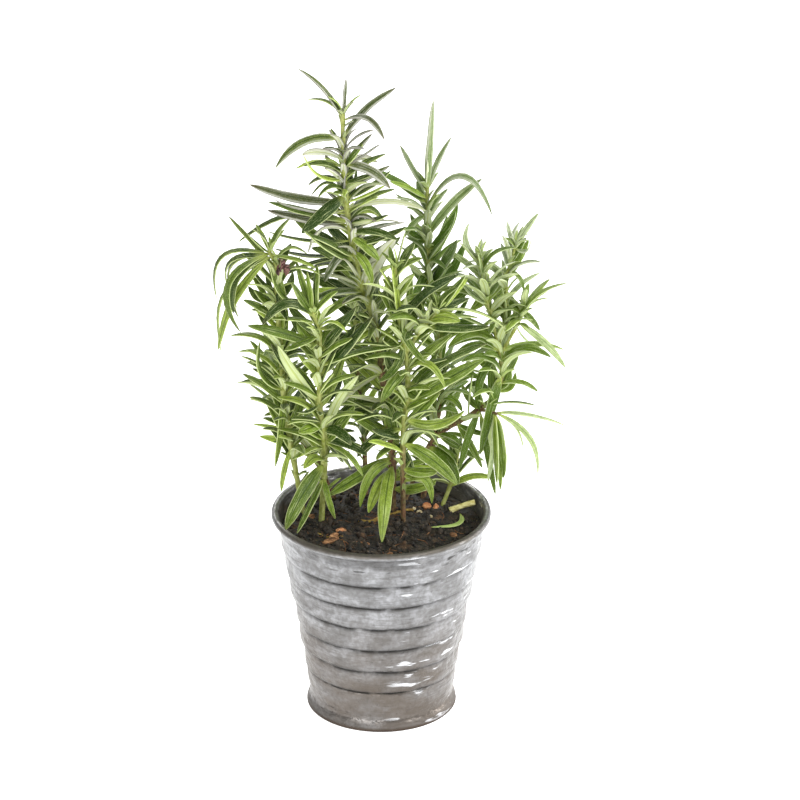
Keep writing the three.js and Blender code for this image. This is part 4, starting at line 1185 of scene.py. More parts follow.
# Leaves that the part leaves out, by their stem and the number of its branch, or 0 for the stem.
FURTHER = {
    ("stem_main", 0): (
        (239, -33, 14, 15, -1, 5.4, 40), (239, -17, 8, 14, -1, 5.4, 55), (232, -20, 6, 16, 2, 5.4, 60),
        (224, -25, 12, 15, 4, 5, 60), (220, -32, 16, 8, -1, 5.4, 50), (218, -30, 18, -2, -1, 5, 40),
        (244, -41, 6, 3, -3, 3, 20), (241, -39, 8, -1, 2, 3, 20), (234, -29, 4, 2, 3, 3.2, 30),
        (260, -10, 6, 8, 0, 3, 50), (272, 3, 8, 18, 0, 4, 75), (270, 7, 8, 17, -1, 3.8, 75),
        (258, 17, 4, 1, 8, 3, 30), (248, 23, 6, -3, 4, 3.6, 30), (270, -18, 6, 2, 8, 2.2, 20),
        (215, -19, 10, 12, 2, 4.6, 50), (206, -21, 12, 7, -2, 4.6, 50), (199, -25, 10, -3, -2, 4.6, 40),
        (189, -26, 6, -11, 3, 4.4, 40), (181, -24, 12, 7, -1, 4.4, 50), (264, 25, 8, 3, 2, 3.2, 20),
        (280, 13, 6, 6, 0, 2.8, 30), (239, -33, -8, 24, -1, 5, 50), (241, -28, -14, 22, 0, 4.6, 40),
        (260, -39, -6, 12, 0, 4.2, 40), (258, -38, 14, 4, -1, 3.8, 30), (284, -20, -3, 3, 4, 3, 20),
        (280, -18, 8, -4, 4, 2.6, 40), (286, -19, 12, 1, 2, 3, 20), (284, 18, 10, 10, 1, 3.2, 40),
        (288, 7, -4, 16, 0, 3.4, 60), (272, 22, 12, 10, -1, 3, 30), (254, 23, -10, 1, 2, 4.2, 40),
        (260, 17, 10, 5, -1, 3.6, 30), (250, -40, -8, 5, -2, 2.6, 20), (239, 22, 10, 9, -1, 4.6, 50),
        (276, -13, -8, 0, 4, 2.8, 30),
    ),
    ("stem_left", 0): (
        (206, -14, 10, 14, -2, 4.6, 55), (201, -16, 10, 8, -1, 4.6, 50), (209, 18, 10, 12, -2, 4, 40),
        (197, 16, 12, 10, -4, 4.4, 40), (169, -15, 6, 14, -2, 5.2, 55), (189, 12, 8, 13, -2, 4.4, 50),
        (146, 20, -6, -9, 2, 4.4, 40), (148, 14, 6, -21, 1, 4, 40), (167, 18, 10, 9, -2, 4.4, 50),
        (216, -13, 10, 14, 0, 4.2, 50), (146, 9, 10, -17, 0, 4.6, 40), (152, 17, 12, -11, 1, 4.6, 40),
        (144, -14, 12, -19, -1, 4, 30),
    ),
    ("stem_far_left", 0): (
        (215, -2, 4, 17, 2, 4.2, 55), (246, -8, -2, 13, -1, 1.9, 20), (244, -17, -6, -30, 11, 4, 30),
        (243, -22, 6, -27, 14, 3.4, 30), (210, -11, -6, 18, 1, 4.4, 40), (221, 8, 4, 13, -2, 3.8, 50),
        (196, 11, 4, 11, -3, 4, 40), (246, -15, -4, -32, 9, 4.4, 40), (245, -27, 2, -24, 15, 3.4, 20),
        (245, -19, 8, -32, 13, 3.8, 30), (221, -13, 6, 7, -3, 4.2, 40),
    ),
    ("stem_centre_right", 0): (
        (197, -8, 8, 35, -3, 5.2, 70), (199, 11, 8, 31, 0, 4.4, 60), (205, -10, 6, 21, 1, 4, 60),
        (234, 8, 4, 18, 0, 3.4, 60), (236, -1, 5, 20, 0, 3.2, 60), (156, 18, 4, -17, 3, 4.4, 40),
        (150, -16, 6, -22, 3, 5, 40), (145, -17, 8, -17, 1, 5.4, 40), (145, -16, 12, -7, 4, 4, 40),
    ),
    ("stem_back_right", 0): (
        (219, 15, 6, 28, -2, 5, 50), (216, 7, 8, 25, -1, 4.4, 60), (199, 17, 4, 30, -1, 4.8, 50),
        (189, 19, 4, 19, 0, 4.6, 50), (203, -11, 6, 13, 1, 4.4, 50), (184, 21, 4, 2, 2, 4.4, 30),
        (182, 27, 8, -6, 2, 5.4, 30), (230, -12, 4, 5, -1, 3.8, 30), (248, -24, -4, 19, 0, 4.4, 40),
        (224, 14, -4, 22, -2, 4.4, 50), (230, -14, -6, -9, 1, 4, 40), (214, -8, -8, -13, 0, 4.4, 50),
    ),
    ("stem_far_right", 0): (
        (178, -27, -6, 5, 8, 5.8, 45), (176, -24, -8, -1, 6, 4.4, 30), (151, -15, -4, 1, 7, 4, 30),
        (152, -5, 4, 15, -1, 4.4, 60), (151, -15, 2, -11, -1, 4, 30), (171, 26, -4, 6, 6, 4.4, 30),
        (215, 8, 4, 20, 0, 4.2, 50), (159, -11, 4, 11, 1, 4.2, 40), (223, 11, 4, 9, 0, 3.4, 40),
        (176, -25, -10, 5, 8, 5, 40), (165, -25, -10, 13, 6, 5, 40), (171, -11, -6, 8, 2, 4.4, 40),
        (156, 9, 4, 8, -2, 3.8, 40),
    ),
    ("stem_far_right", 3): (
        (148, 2, -6, -33, 3, 5, 40), (146, -11, -4, -30, 1, 4, 40), (146, -9, 4, 12, -1, 3.6, 50),
        (148, 2, -4, -40, 7, 2.4, 30),
    ),
}

# Leaves that give the plant its outline, on each stem and branch.
MAIN_LEAVES = (
    (313, -21, -4, 27, 2, 3.8, 35), (315, 1, 2, 18, 0, 2.6, 80), (303, 25, 3, 26, 3, 4, 40),
    (312, 22, -8, -5, 6, 3.6, 20), (315, -17, 6, 6, 3, 2.6, 10), (303, -32, -8, -12, 6, 5, 40),
    (292, -20, 4, 1, 3, 4.6, -60), (288, -24, 6, -1, 3, 3, 10), (282, -21, -8, 17, -5, 3.4, 20),
    (276, -15, 9, 11, 4, 3.4, 20), (274, -21, -14, -14, 1, 6.4, 45), (270, -47, 5, 7, -1, 5, 50),
    (266, -34, -10, 11, -4, 3.2, 10), (260, -39, -4, 8, -1, 5, 40), (264, -55, 12, -18, 7, 4, 20),
    (290, 14, 7, 13, 0, 3, 20), (288, 18, -4, 13, 0, 2.6, 0), (290, 16, 8, -1, 2, 4.6, -60),
    (290, 23, -6, -10, 4, 5.4, 40), (282, 6, 3, 20, -1, 3.6, 80), (276, 22, 5, 11, 0, 3.6, 20),
    (270, 19, -2, 10, -1, 2.8, 5), (266, 38, 6, -3, 5, 5.2, -50), (252, 26, 8, 5, 1, 4, 10),
    (248, 25, -6, 12, -2, 4.4, 30), (254, -21, -8, -7, 8, 4.4, -40), (248, -14, -7, -17, 2, 4.4, 40),
    (252, 15, -7, -7, 1, 5, 40), (222, 16, -4, 30, 2, 7.4, -80), (202, -26, -8, -10, 0, 4.6, 40),
    (206, -19, -10, -16, 3, 5.4, 50), (192, -27, 5, -12, 0, 4.4, 20), (189, 9, -9, 5, 2, 4, 10),
    (157, -39, -12, 7, 1, 3.4, 0), (176, -25, -8, -13, 2, 6, -50), (235, -25, 8, -3, 3, 4.2, 20),
    (232, 18, 9, 3, -2, 3.6, 20), (139, -20, -9, 19, 0, 6.4, 45), (124, -5, -42, -22, 5, 6.6, 10),
    (129, -32, -18, -13, 1, 6.4, 35), (122, -12, -22, -14, 3, 6, 20), (218, -21, -12, -5, 4, 4.4, 30),
    (224, -16, 7, 11, -2, 4.4, 30), (244, 9, -10, -13, 3, 4.4, 40), (258, 13, -9, 5, 4, 3.2, 20),
    (139, 10, -10, -17, 2, 4.6, 30), (126, -12, -14, -23, 9, 5, 60), (115, 23, 4, 4, 3, 5.6, 45),
    (111, 22, -6, 7, -2, 5.6, 45), (118, 20, 10, 3, 1, 4.6, 30), (139, -15, 4, -10, 2, 3, 30),
    (165, 9, -10, -23, -1, 6, 50), (159, 11, -8, 0, 1, 2.6, 10), (224, -25, 6, 19, 2, 5.6, 40),
    (218, -35, -6, 5, 4, 3.4, 30), (208, 8, 10, 18, -3, 5, 60), (189, -10, 12, 26, -1, 5, 50),
    (165, -20, 12, 17, 1, 5.4, 40), (145, 17, 14, 18, 3, 5, 40), (226, -22, 9, 22, -2, 4.6, 55),
    (218, -17, 5, 20, -3, 4.2, 50), (213, -26, -9, -19, 2, 3, 20), (222, -30, -7, -1, 3, 4.4, 30),
    (272, 4, 4, 17, -1, 3.4, 75), (268, 6, 6, 17, -1, 3, 70), (248, 2, 5, 15, 0, 4.8, 75),
    (244, -14, 6, 13, 0, 5, 60), (260, 17, 8, -2, 5, 2.6, 20), (162, 13, -8, 18, 0, 4.6, 45),
    (159, -28, -4, -19, 8, 4.6, 40), (148, -25, -5, 3, 4, 3.6, 30), (162, 7, -3, -18, 3, 3, 30),
)
LEFT_LEAVES = (
    (215, -26, -8, 0, 9, 5.4, 45), (199, -35, -4, 13, 1, 5.4, 45), (212, -21, 8, 0, 2, 3.4, 10),
    (168, -20, -6, 33, -1, 5.4, -70), (164, -23, 4, 35, -1, 5.6, 60), (167, -11, -10, 0, -2, 2.6, 0),
    (196, 17, -4, 26, -1, 4.4, 60), (183, 27, -8, 35, 0, 5.6, 60), (188, 38, -12, 16, 2, 4.2, 25),
    (146, -17, -5, 13, 0, 4.4, 35), (141, -16, -6, -3, 1, 3.6, 10), (156, -11, -12, 1, -1, 5.4, 40),
    (146, 17, -4, 38, 3, 5, -60), (132, -19, -26, -24, 3, 7.2, 40), (124, -17, -24, -18, -1, 3.4, 10),
    (124, 5, -14, -18, 0, 3.2, 10), (219, -2, 3, 20, -1, 3.4, 70), (217, 12, -4, 14, 1, 4, 40),
    (206, -17, -8, -4, -1, 4, 20), (152, 14, -10, -4, 3, 5.6, 40), (144, 13, -8, 22, -1, 6, 55),
    (141, -13, -6, -1, 2, 2.8, 10), (144, 20, -10, -13, 4, 3.2, 20), (164, 12, 8, 28, -2, 4.6, 40),
    (186, -14, 10, 16, 2, 4.4, 30), (216, -12, 8, 25, 0, 3.6, 60), (214, -6, 6, 26, 1, 4.8, 60),
    (219, -20, -5, 22, -6, 3.2, 30), (196, -11, 4, 14, 0, 4.8, 55), (197, -9, -3, 18, 4, 2.4, 20),
    (209, 15, -4, 1, 5, 2.6, 10), (177, 8, -6, 21, 0, 3, 50),
)
FAR_LEFT_LEAVES = (
    (246, -14, -12, -36, 18, 3.6, 30), (245, -28, -4, -49, 5, 4.6, 50), (244, -30, 4, -52, 10, 3.2, 20),
    (247, -6, 4, 13, 0, 2.4, 20), (247, -8, -4, 13, 2, 2.4, 20), (247, 11, 3, 16, 2, 3.2, 20),
    (245, 22, -6, -3, 1, 3.2, 10), (238, -23, 14, 22, -1, 2.8, 20), (241, 16, 6, 3, 5, 3, 0),
    (231, 23, -8, 8, 5, 3, 10), (237, 7, -7, -15, -1, 4.4, 50), (213, -11, -2, 14, 0, 4.6, 50),
    (215, -12, 5, 18, -1, 3.2, 20), (171, -11, -6, 29, -7, 4, 40), (169, -4, -6, -37, 0, 4.4, 70),
    (198, -11, 7, 16, -2, 2.8, 10), (226, 4, -9, 18, -2, 3.2, 10), (188, 17, -8, 3, 5, 3.6, 20),
    (138, -5, -6, -21, 1, 3, 20), (225, -12, 4, 12, -2, 2.4, 20), (219, -5, 5, 15, -1, 3, 60),
)
CENTRE_RIGHT_LEAVES = (
    (231, 13, -4, 14, 3, 4, 30), (209, -3, -4, 32, 0, 5.2, 80), (209, 28, -5, 28, 2, 5, 50),
    (224, -9, -4, 15, 0, 3.6, 30), (212, 13, -12, -19, -3, 3.8, 30), (169, 39, 2, 28, 3, 4.4, 40),
    (165, 38, -4, 25, 1, 6.8, 55), (183, 18, -14, -3, 8, 4.2, 20), (184, -13, -12, -13, 2, 5.2, 50),
    (174, 7, -14, 4, -4, 5, 40), (161, 12, -10, 9, 1, 4.8, 35), (156, 29, -6, 7, -5, 5.4, 45),
    (142, 27, -12, -17, 2, 6.6, 45), (128, 17, -8, 3, -2, 5.4, 40), (218, 15, 8, 4, 1, 3.8, 20),
    (234, 7, 6, 13, -1, 3, 30), (237, -3, 2, 12, 0, 3, 40), (199, -10, -10, 5, -3, 3.6, 20),
    (145, -15, -9, 9, -1, 4.4, 30), (174, 14, 8, 15, -2, 4.2, 30), (196, 0, -6, 29, 0, 5, 60),
    (183, 22, 8, 16, 2, 4.8, 40), (150, 16, 8, 19, 1, 5.2, 40), (168, -10, 6, 26, -2, 4.8, 50),
    (120, 15, -8, -5, 10, 4.6, 40), (124, 16, 6, 3, 1, 4.8, 40), (199, -10, -7, -20, -4, 4.2, 40),
    (194, -26, -9, 4, 2, 2.6, 10), (199, 2, 4, 32, -1, 4.8, 70),
)
CENTRE_RIGHT_BRANCH_1_LEAVES = (
    (216, 13, 2, 18, 0, 4.2, 40), (216, 33, -6, -7, 5, 4.2, -30), (211, 15, -6, 2, 2, 6.2, 50),
    (208, 32, 2, -1, -2, 4.8, 35), (216, 10, 6, 19, 0, 3.2, 60), (216, -8, 4, 10, 1, 3.4, 30),
    (210, 1, -5, 16, 1, 3, 40), (216, 7, -5, 17, 2, 3, 60),
)
BACK_RIGHT_LEAVES = (
    (254, 4, 4, 47, 0, 4.6, 80), (256, 13, 5, 25, 1, 3, 40), (254, -14, 4, 24, 0, 3.2, 30),
    (251, -18, -5, 12, 0, 3.8, 30), (247, 32, -6, -2, 18, 4, 30), (231, 27, 2, 31, 3, 4.8, 50),
    (243, -12, -6, -10, 2, 3.6, 20), (230, -8, 5, 12, -1, 3.2, 30), (207, 12, -8, 27, -1, 6.6, 60),
    (211, 15, -8, 6, 6, 3.6, 10), (219, 8, -6, 15, 0, 4.2, 40), (256, 0, -3, 17, 0, 3, 60),
    (182, 16, -6, 21, -1, 5.2, 40), (148, 11, -8, -3, 4, 4.2, 20), (199, -1, -6, 22, -1, 7.2, 60),
    (174, -15, 4, 22, -3, 5.6, 40), (179, 18, 6, -2, 5, 4.6, 30), (193, 16, 8, 14, -2, 5, 40),
    (155, 20, -6, 6, 6, 4.8, 40),
)
FAR_RIGHT_LEAVES = (
    (218, -19, -5, -19, -1, 6, 50), (219, 8, -4, -9, 2, 3, 10), (220, -4, 4, 12, 0, 2.6, 40),
    (229, 12, 0, 20, 1, 3.6, 40), (230, 8, -4, 6, -4, 2.8, 20), (192, -1, -4, 20, 0, 3.8, 70),
    (201, 18, 5, -15, 1, 3, 20), (231, -4, 4, 12, -1, 2.6, 50), (176, 32, 2, 0, 4, 3.8, 30),
    (165, -10, -16, -38, 2, 6.2, 60), (146, 8, -16, -40, 1, 3.6, 20), (141, 5, -6, 17, 1, 3.8, 40),
    (143, 2, -6, 25, 1, 4.4, 70), (155, 9, 4, 9, -4, 3.4, 30), (139, 13, -8, -21, 1, 3.6, 30),
    (133, 13, -8, -3, 3, 3.2, 20), (159, 18, 8, -3, 3, 3.2, 20), (180, -18, 4, -13, 2, 3.6, 20),
    (208, -9, 6, 13, 2, 3.2, 20), (199, -15, 8, -15, -1, 3.6, 30), (127, 15, -12, -16, 3, 6.8, 45),
    (131, 20, -4, -3, 3, 3.4, 20), (129, 13, -10, -7, 2, 2.6, 10), (162, -14, 8, 11, -1, 4.4, 30),
    (185, 9, 10, 12, -2, 4, 30), (133, 21, -10, -15, 0, 4.4, 30), (139, 16, -6, -4, -1, 3.6, 20),
    (208, 1, -4, -18, 0, 3.6, 40), (176, -14, -6, -28, 6, 4.2, 45),
)
FAR_RIGHT_BRANCH_1_LEAVES = (
    (225, 0, 3, 13, 0, 2.8, 40), (218, -2, -4, 17, 0, 4.2, 70), (227, -6, 4, 19, -6, 3.4, 30),
    (203, -13, -4, 13, -1, 3.8, 30), (207, 8, 4, 12, -1, 3, 30), (211, -4, 2, 21, 0, 4.2, 60),
)
FAR_RIGHT_BRANCH_2_LEAVES = (
    (191, 25, -2, -22, 2, 4.2, 40), (198, 11, 3, 8, 2, 3, 30), (197, 8, -4, -9, 0, 3.2, 20),
    (189, 15, 5, -16, -2, 3.2, 20), (197, 0, 3, 12, 0, 2.8, 40),
)
FAR_RIGHT_BRANCH_3_LEAVES = (
    (148, 35, 3, -9, 2, 3.4, 10), (148, 23, -3, -33, 6, 3.4, 40), (148, 2, -6, -39, 4, 3.4, 30),
    (148, -2, -9, -34, 1, 4.6, 60), (148, 1, -14, -33, 2, 4, 60), (148, 15, 4, -21, 3, 3, 10),
)

STEMS = (
    Shoot(
        node="stem_main", wood_top=205, finish=GREY_GREEN, rooted=True, radius=(1.6, 1), leaves=MAIN_LEAVES,
        route=((6, 15, 97), (5, 12, 139), (1, 9, 173), (-3, 5, 204), (-10, 2, 228), (-14, 0, 250),
               (-17, -1, 274), (-18, -2, 298), (-18, -2, 316)),
        rule=Rule(start=134, end=294, spacing=20, length=(32, 20), rise=(26, 44), width=(5.4, 3.8),
                  first=70, young=True),
    ),
    Shoot(
        node="stem_left", finish=FRESH_GREEN, rooted=True, radius=(1.5, 0.8), leaves=LEFT_LEAVES,
        route=((-30, 4, 97), (-28, -4, 141), (-30, -8, 163), (-30, -10, 177), (-30, -12, 195),
               (-30, -14, 208), (-33, -15, 219)),
        rule=Rule(start=132, end=206, spacing=20, length=(31, 22), rise=(30, 48), width=(5.2, 4.4),
                  first=80, young=True),
    ),
    Shoot(
        node="stem_far_left", finish=FRESH_GREEN, rooted=True, radius=(1.4, 0.8), leaves=FAR_LEFT_LEAVES,
        route=((-39, 10, 98), (-46, 2, 149), (-48, -1, 171), (-49, -3, 194), (-51, -5, 221), (-51, -6, 239),
               (-54, -7, 247)),
        rule=Rule(start=128, end=234, spacing=20, length=(30, 20), rise=(32, 45), width=(5, 3.8), first=95,
                  young=True),
    ),
    Shoot(
        node="stem_centre_right", wood_top=150, finish=FRESH_GREEN, rooted=True, radius=(1.3, 0.8),
        leaves=CENTRE_RIGHT_LEAVES,
        route=((11, 2, 98), (11, 0, 148), (13, -2, 166), (13, -4, 186), (10, -5, 205), (8, -6, 221),
               (7, -7, 239)),
        rule=Rule(start=136, end=228, spacing=21, length=(32, 22), rise=(28, 48), width=(5.4, 4.2),
                  first=60),
        branches=(
            Shoot(
                radius=(0.9, 0.6), leaves=CENTRE_RIGHT_BRANCH_1_LEAVES,
                route=((13, -4, 193), (18, -6, 203), (23, -7, 210), (28, -8, 216)),
                rule=Rule(start=201, end=214, spacing=6, length=(20, 15), rise=(20, 40), width=(3.8, 3.4),
                          first=75),
            ),
        ),
    ),
    Shoot(
        node="stem_back_right", wood_top=170, finish=PALE_GREEN, rooted=True, radius=(1.4, 0.8),
        leaves=BACK_RIGHT_LEAVES,
        route=((21, 30, 98), (28, 38, 138), (30, 42, 153), (28, 47, 184), (24, 51, 209), (23, 53, 227),
               (23, 54, 242), (23, 55, 257)),
        rule=Rule(start=124, end=244, spacing=17, length=(32, 20), rise=(26, 52), width=(5.2, 3.8),
                  first=20),
    ),
    Shoot(
        node="stem_far_right", wood_top=175, finish=FAR_GREEN, rooted=True, radius=(1.1, 0.7),
        leaves=FAR_RIGHT_LEAVES,
        route=((12, 28, 98), (25, 30, 129), (41, 32, 141), (55, 34, 150), (60, 35, 161), (60, 36, 171),
               (59, 36, 180), (62, 37, 190), (62, 38, 202), (63, 39, 217), (67, 41, 232)),
        rule=Rule(start=136, end=226, spacing=25, length=(28, 18), rise=(25, 42), width=(4.6, 3.4),
                  first=60),
        branches=(
            Shoot(
                radius=(0.9, 0.6), leaves=FAR_RIGHT_BRANCH_1_LEAVES,
                route=((59, 36, 176), (55, 34, 197), (53, 33, 204), (49, 31, 229)),
                rule=Rule(start=192, end=222, spacing=15, length=(20, 15), rise=(30, 45), width=(3.6, 3.2),
                          first=70),
            ),
            Shoot(
                radius=(0.9, 0.6), leaves=FAR_RIGHT_BRANCH_2_LEAVES,
                route=((60, 36, 175), (67, 38, 188), (72, 40, 198)),
                rule=Rule(start=186, end=196, spacing=8, length=(18, 15), rise=(15, 35), width=(3.4, 3.2),
                          first=110),
            ),
            Shoot(
                radius=(0.9, 0.6), leaves=FAR_RIGHT_BRANCH_3_LEAVES,
                route=((49.5, 33, 146), (55, 28, 147), (58, 22, 148.5)),
            ),
        ),
    ),
    Shoot(
        node="stem_back_left", wood_top=140, finish=DEEP_GREEN, rooted=True, radius=(1.3, 0.7),
        route=((-24, 30, 98), (-34, 36, 118), (-46, 41, 134), (-52, 44, 150), (-53, 45, 168)),
        rule=Rule(start=116, end=166, spacing=9, length=(30, 22), rise=(15, 50), width=(4.8, 4.2),
                  first=160),
    ),
    Shoot(
        node="stem_back_centre", wood_top=180, finish=DEEP_GREEN, rooted=True, radius=(1.3, 0.8),
        route=((-8, 36, 98), (-9, 40, 130), (-12, 42, 160), (-13, 42, 190), (-11, 40, 215)),
        rule=Rule(start=122, end=212, spacing=13, length=(32, 22), rise=(20, 52), width=(5.2, 4.4),
                  first=15),
    ),
    Shoot(
        node="shoot_right_low", finish=FRESH_GREEN, rooted=True, radius=(1.1, 0.6),
        route=((31, 22, 98), (36, 24, 112), (39, 25, 126)),
        rule=Rule(start=107, end=125, spacing=6, length=(22, 16), rise=(25, 60), width=(4.6, 3.8),
                  first=150),
    ),
)

# Plant


LEAF_MARKS = ("along", "across", "under", "tone", "warm", "young")
FURTHER_SEED = 31
FILL_SEED = 90
FILL_START = 0.6
BUD_SEED = 700
BUD_START = 16
BUD_END = 2
BUD_BOW = 0.1
BUD_ROLL = 40
LEAF_SEED = 40
SOIL_SEED = 11


@dataclass
class LeafSurface:
    """Closed surface of a leaf: flat-topped with rolled edges, a groove above and a rib beneath.

    Attributes:
        stations: Shares of the length at which a ring stands.
        upper: Shares across for the upper side, from one edge to the other.
        lower: Shares across for the lower side, back again.
        edge: Height of the edge over the leaf's own line.
        dome: How far the upper side stands over the edge.
        groove: Depth and width of the groove over the midrib.
        channel: Depth, place and width of the hollow between rib and edge beneath.
        sway, curl, twist, wave, waves, fold: Small differences from leaf to leaf, as shares of the
            length, in degrees, as a share of the width, in number and as a slope.
    """

    stations: Row
    upper: Row
    lower: Row
    edge: float = 0.38
    edge_thickness: float = 0.1
    dome: float = 0.6
    groove: Pair = (0.34, 0.13)
    channel: Place = (0.3, 0.45, 0.2)
    belly: float = 0.05
    sway: float = 0.03
    curl: Pair = (-0.07, 0.035)
    twist: float = 34
    untwisted: float = 0.35
    stalk: Place = (0.6, 0.02, 0.15)
    wave: float = 0.05
    waves: Pair = (1.6, 2.8)
    thick_width: float = 4
    fold: Pair = (-0.34, 0.12)
    fold_line: float = 0.4
    tip: float = 0.3

    def section(self) -> tuple[Array, Array, Array]:
        """Section at full width.

        At a share a across, the upper side is the edge, plus the dome times (1 - a^6)^0.5, less the
        groove's bell. The lower side is the channel's bell less the belly, and rises to the edge.

        Returns:
            Share across, height, and 0 on the upper or 1 on the lower side, for each corner.
        """
        top, base = np.array(self.upper), np.array(self.lower)
        depth, width = self.groove
        above = self.edge + self.dome * np.sqrt(1 - top**6) - depth * bell(top, width)
        depth, place, width = self.channel
        below = depth * bell(np.abs(base), width, place) - self.belly
        below += (self.edge - self.edge_thickness) * smooth(np.abs(base), 0.84, 1.0)
        side = np.concatenate([np.zeros(len(top)), np.ones(len(base))])
        side[[0, len(top) - 1]] = 0.5
        return np.concatenate([top, base]), np.concatenate([above, below]), side

    def add_to(self, shell: Shell, leaves: Leaves, tints: Array, young: float, seed: int) -> None:
        """Adds leaves to a shell, each with small differences of its own.

        A corner stands at centre + across a w + up h s, where w is half the width with a slight
        wave, and s the square root of the width's share. The section turns evenly along the leaf,
        its edges droop by a fold, and its line sways sideways and curls at the tip.

        Args:
            shell: Shell with the leaf values.
            leaves: The leaves.
            tints: Tone and warmth of each.
            young: Value of young for all of them.
            seed: Seed of the differences.
        """
        random = np.random.default_rng(seed)
        t = np.array([*self.stations, 1.0])
        centre, across, up, _ = leaves.frames(t)
        length = np.linalg.norm(leaves.along, axis=-1)[:, None, None]

        def draw(low: float, high: float) -> Array:
            """One number between two ends for each leaf."""
            return random.uniform(low, high, (len(leaves.bow), 1, 1))

        share = t[None, :, None]
        centre = centre + across * (draw(-self.sway, self.sway) * length * np.sin(np.pi * share))
        centre = centre + up * (draw(*self.curl) * length * smooth(share, 0.5, 1.0))
        turn = np.radians(draw(-self.twist, self.twist)) * (share - self.untwisted)
        across, up = (across * np.cos(turn) + up * np.sin(turn),
                      up * np.cos(turn) - across * np.sin(turn))

        a, h, side = (values[None, None] for values in self.section())
        stalk, narrow, wide = self.stalk
        width = (leaf_width_share(t) * mix(stalk, 1.0, smooth(t, narrow, wide)))[None, :, None]
        wave = 1 + self.wave * np.sin(2 * np.pi * (draw(*self.waves) * share + draw(0, 1)))
        full = leaves.width[:, None, None]
        half = 0.5 * full * width * wave
        thin = np.minimum(1, full / self.thick_width) ** 0.5
        size = np.sqrt(leaf_width_share(t))[None, :, None] * thin
        rise = size * h + draw(*self.fold) * (np.abs(a) - self.fold_line) * half
        points = centre[:, :, None] + across[:, :, None] * (half * a)[..., None]
        points = points + up[:, :, None] * rise[..., None]
        rings = points[:, :-1]
        shape = rings.shape[:3]
        shell.add_tubes(rings, rings[:, 0].mean(axis=1), centre[:, -1] + up[:, -1] * self.tip,
                        along=np.broadcast_to(share[:, :-1], shape), across=np.broadcast_to(a, shape),
                        under=np.broadcast_to(side, shape), tone=tints[:, :1, None],
                        warm=tints[:, 1:, None], young=young)


FULL_LEAF = LeafSurface(
    stations=(0.02, 0.07, 0.13, 0.2, 0.28, 0.37, 0.46, 0.55, 0.64, 0.73, 0.81, 0.88, 0.93, 0.97, 0.99),
    upper=(-1, -0.96, -0.86, -0.66, -0.4, -0.16, 0, 0.16, 0.4, 0.66, 0.86, 0.96, 1),
    lower=(0.93, 0.82, 0.62, 0.42, 0.2, 0, -0.2, -0.42, -0.62, -0.82, -0.93),
)
SMALL_LEAF = LeafSurface(
    stations=(0.05, 0.2, 0.38, 0.58, 0.76, 0.9, 0.97),
    upper=(-1, -0.85, -0.45, 0, 0.45, 0.85, 1),
    lower=(0.85, 0.4, 0, -0.4, -0.85),
)
SURFACES = {LeafKind.FULL: FULL_LEAF, LeafKind.YOUNG: SMALL_LEAF}


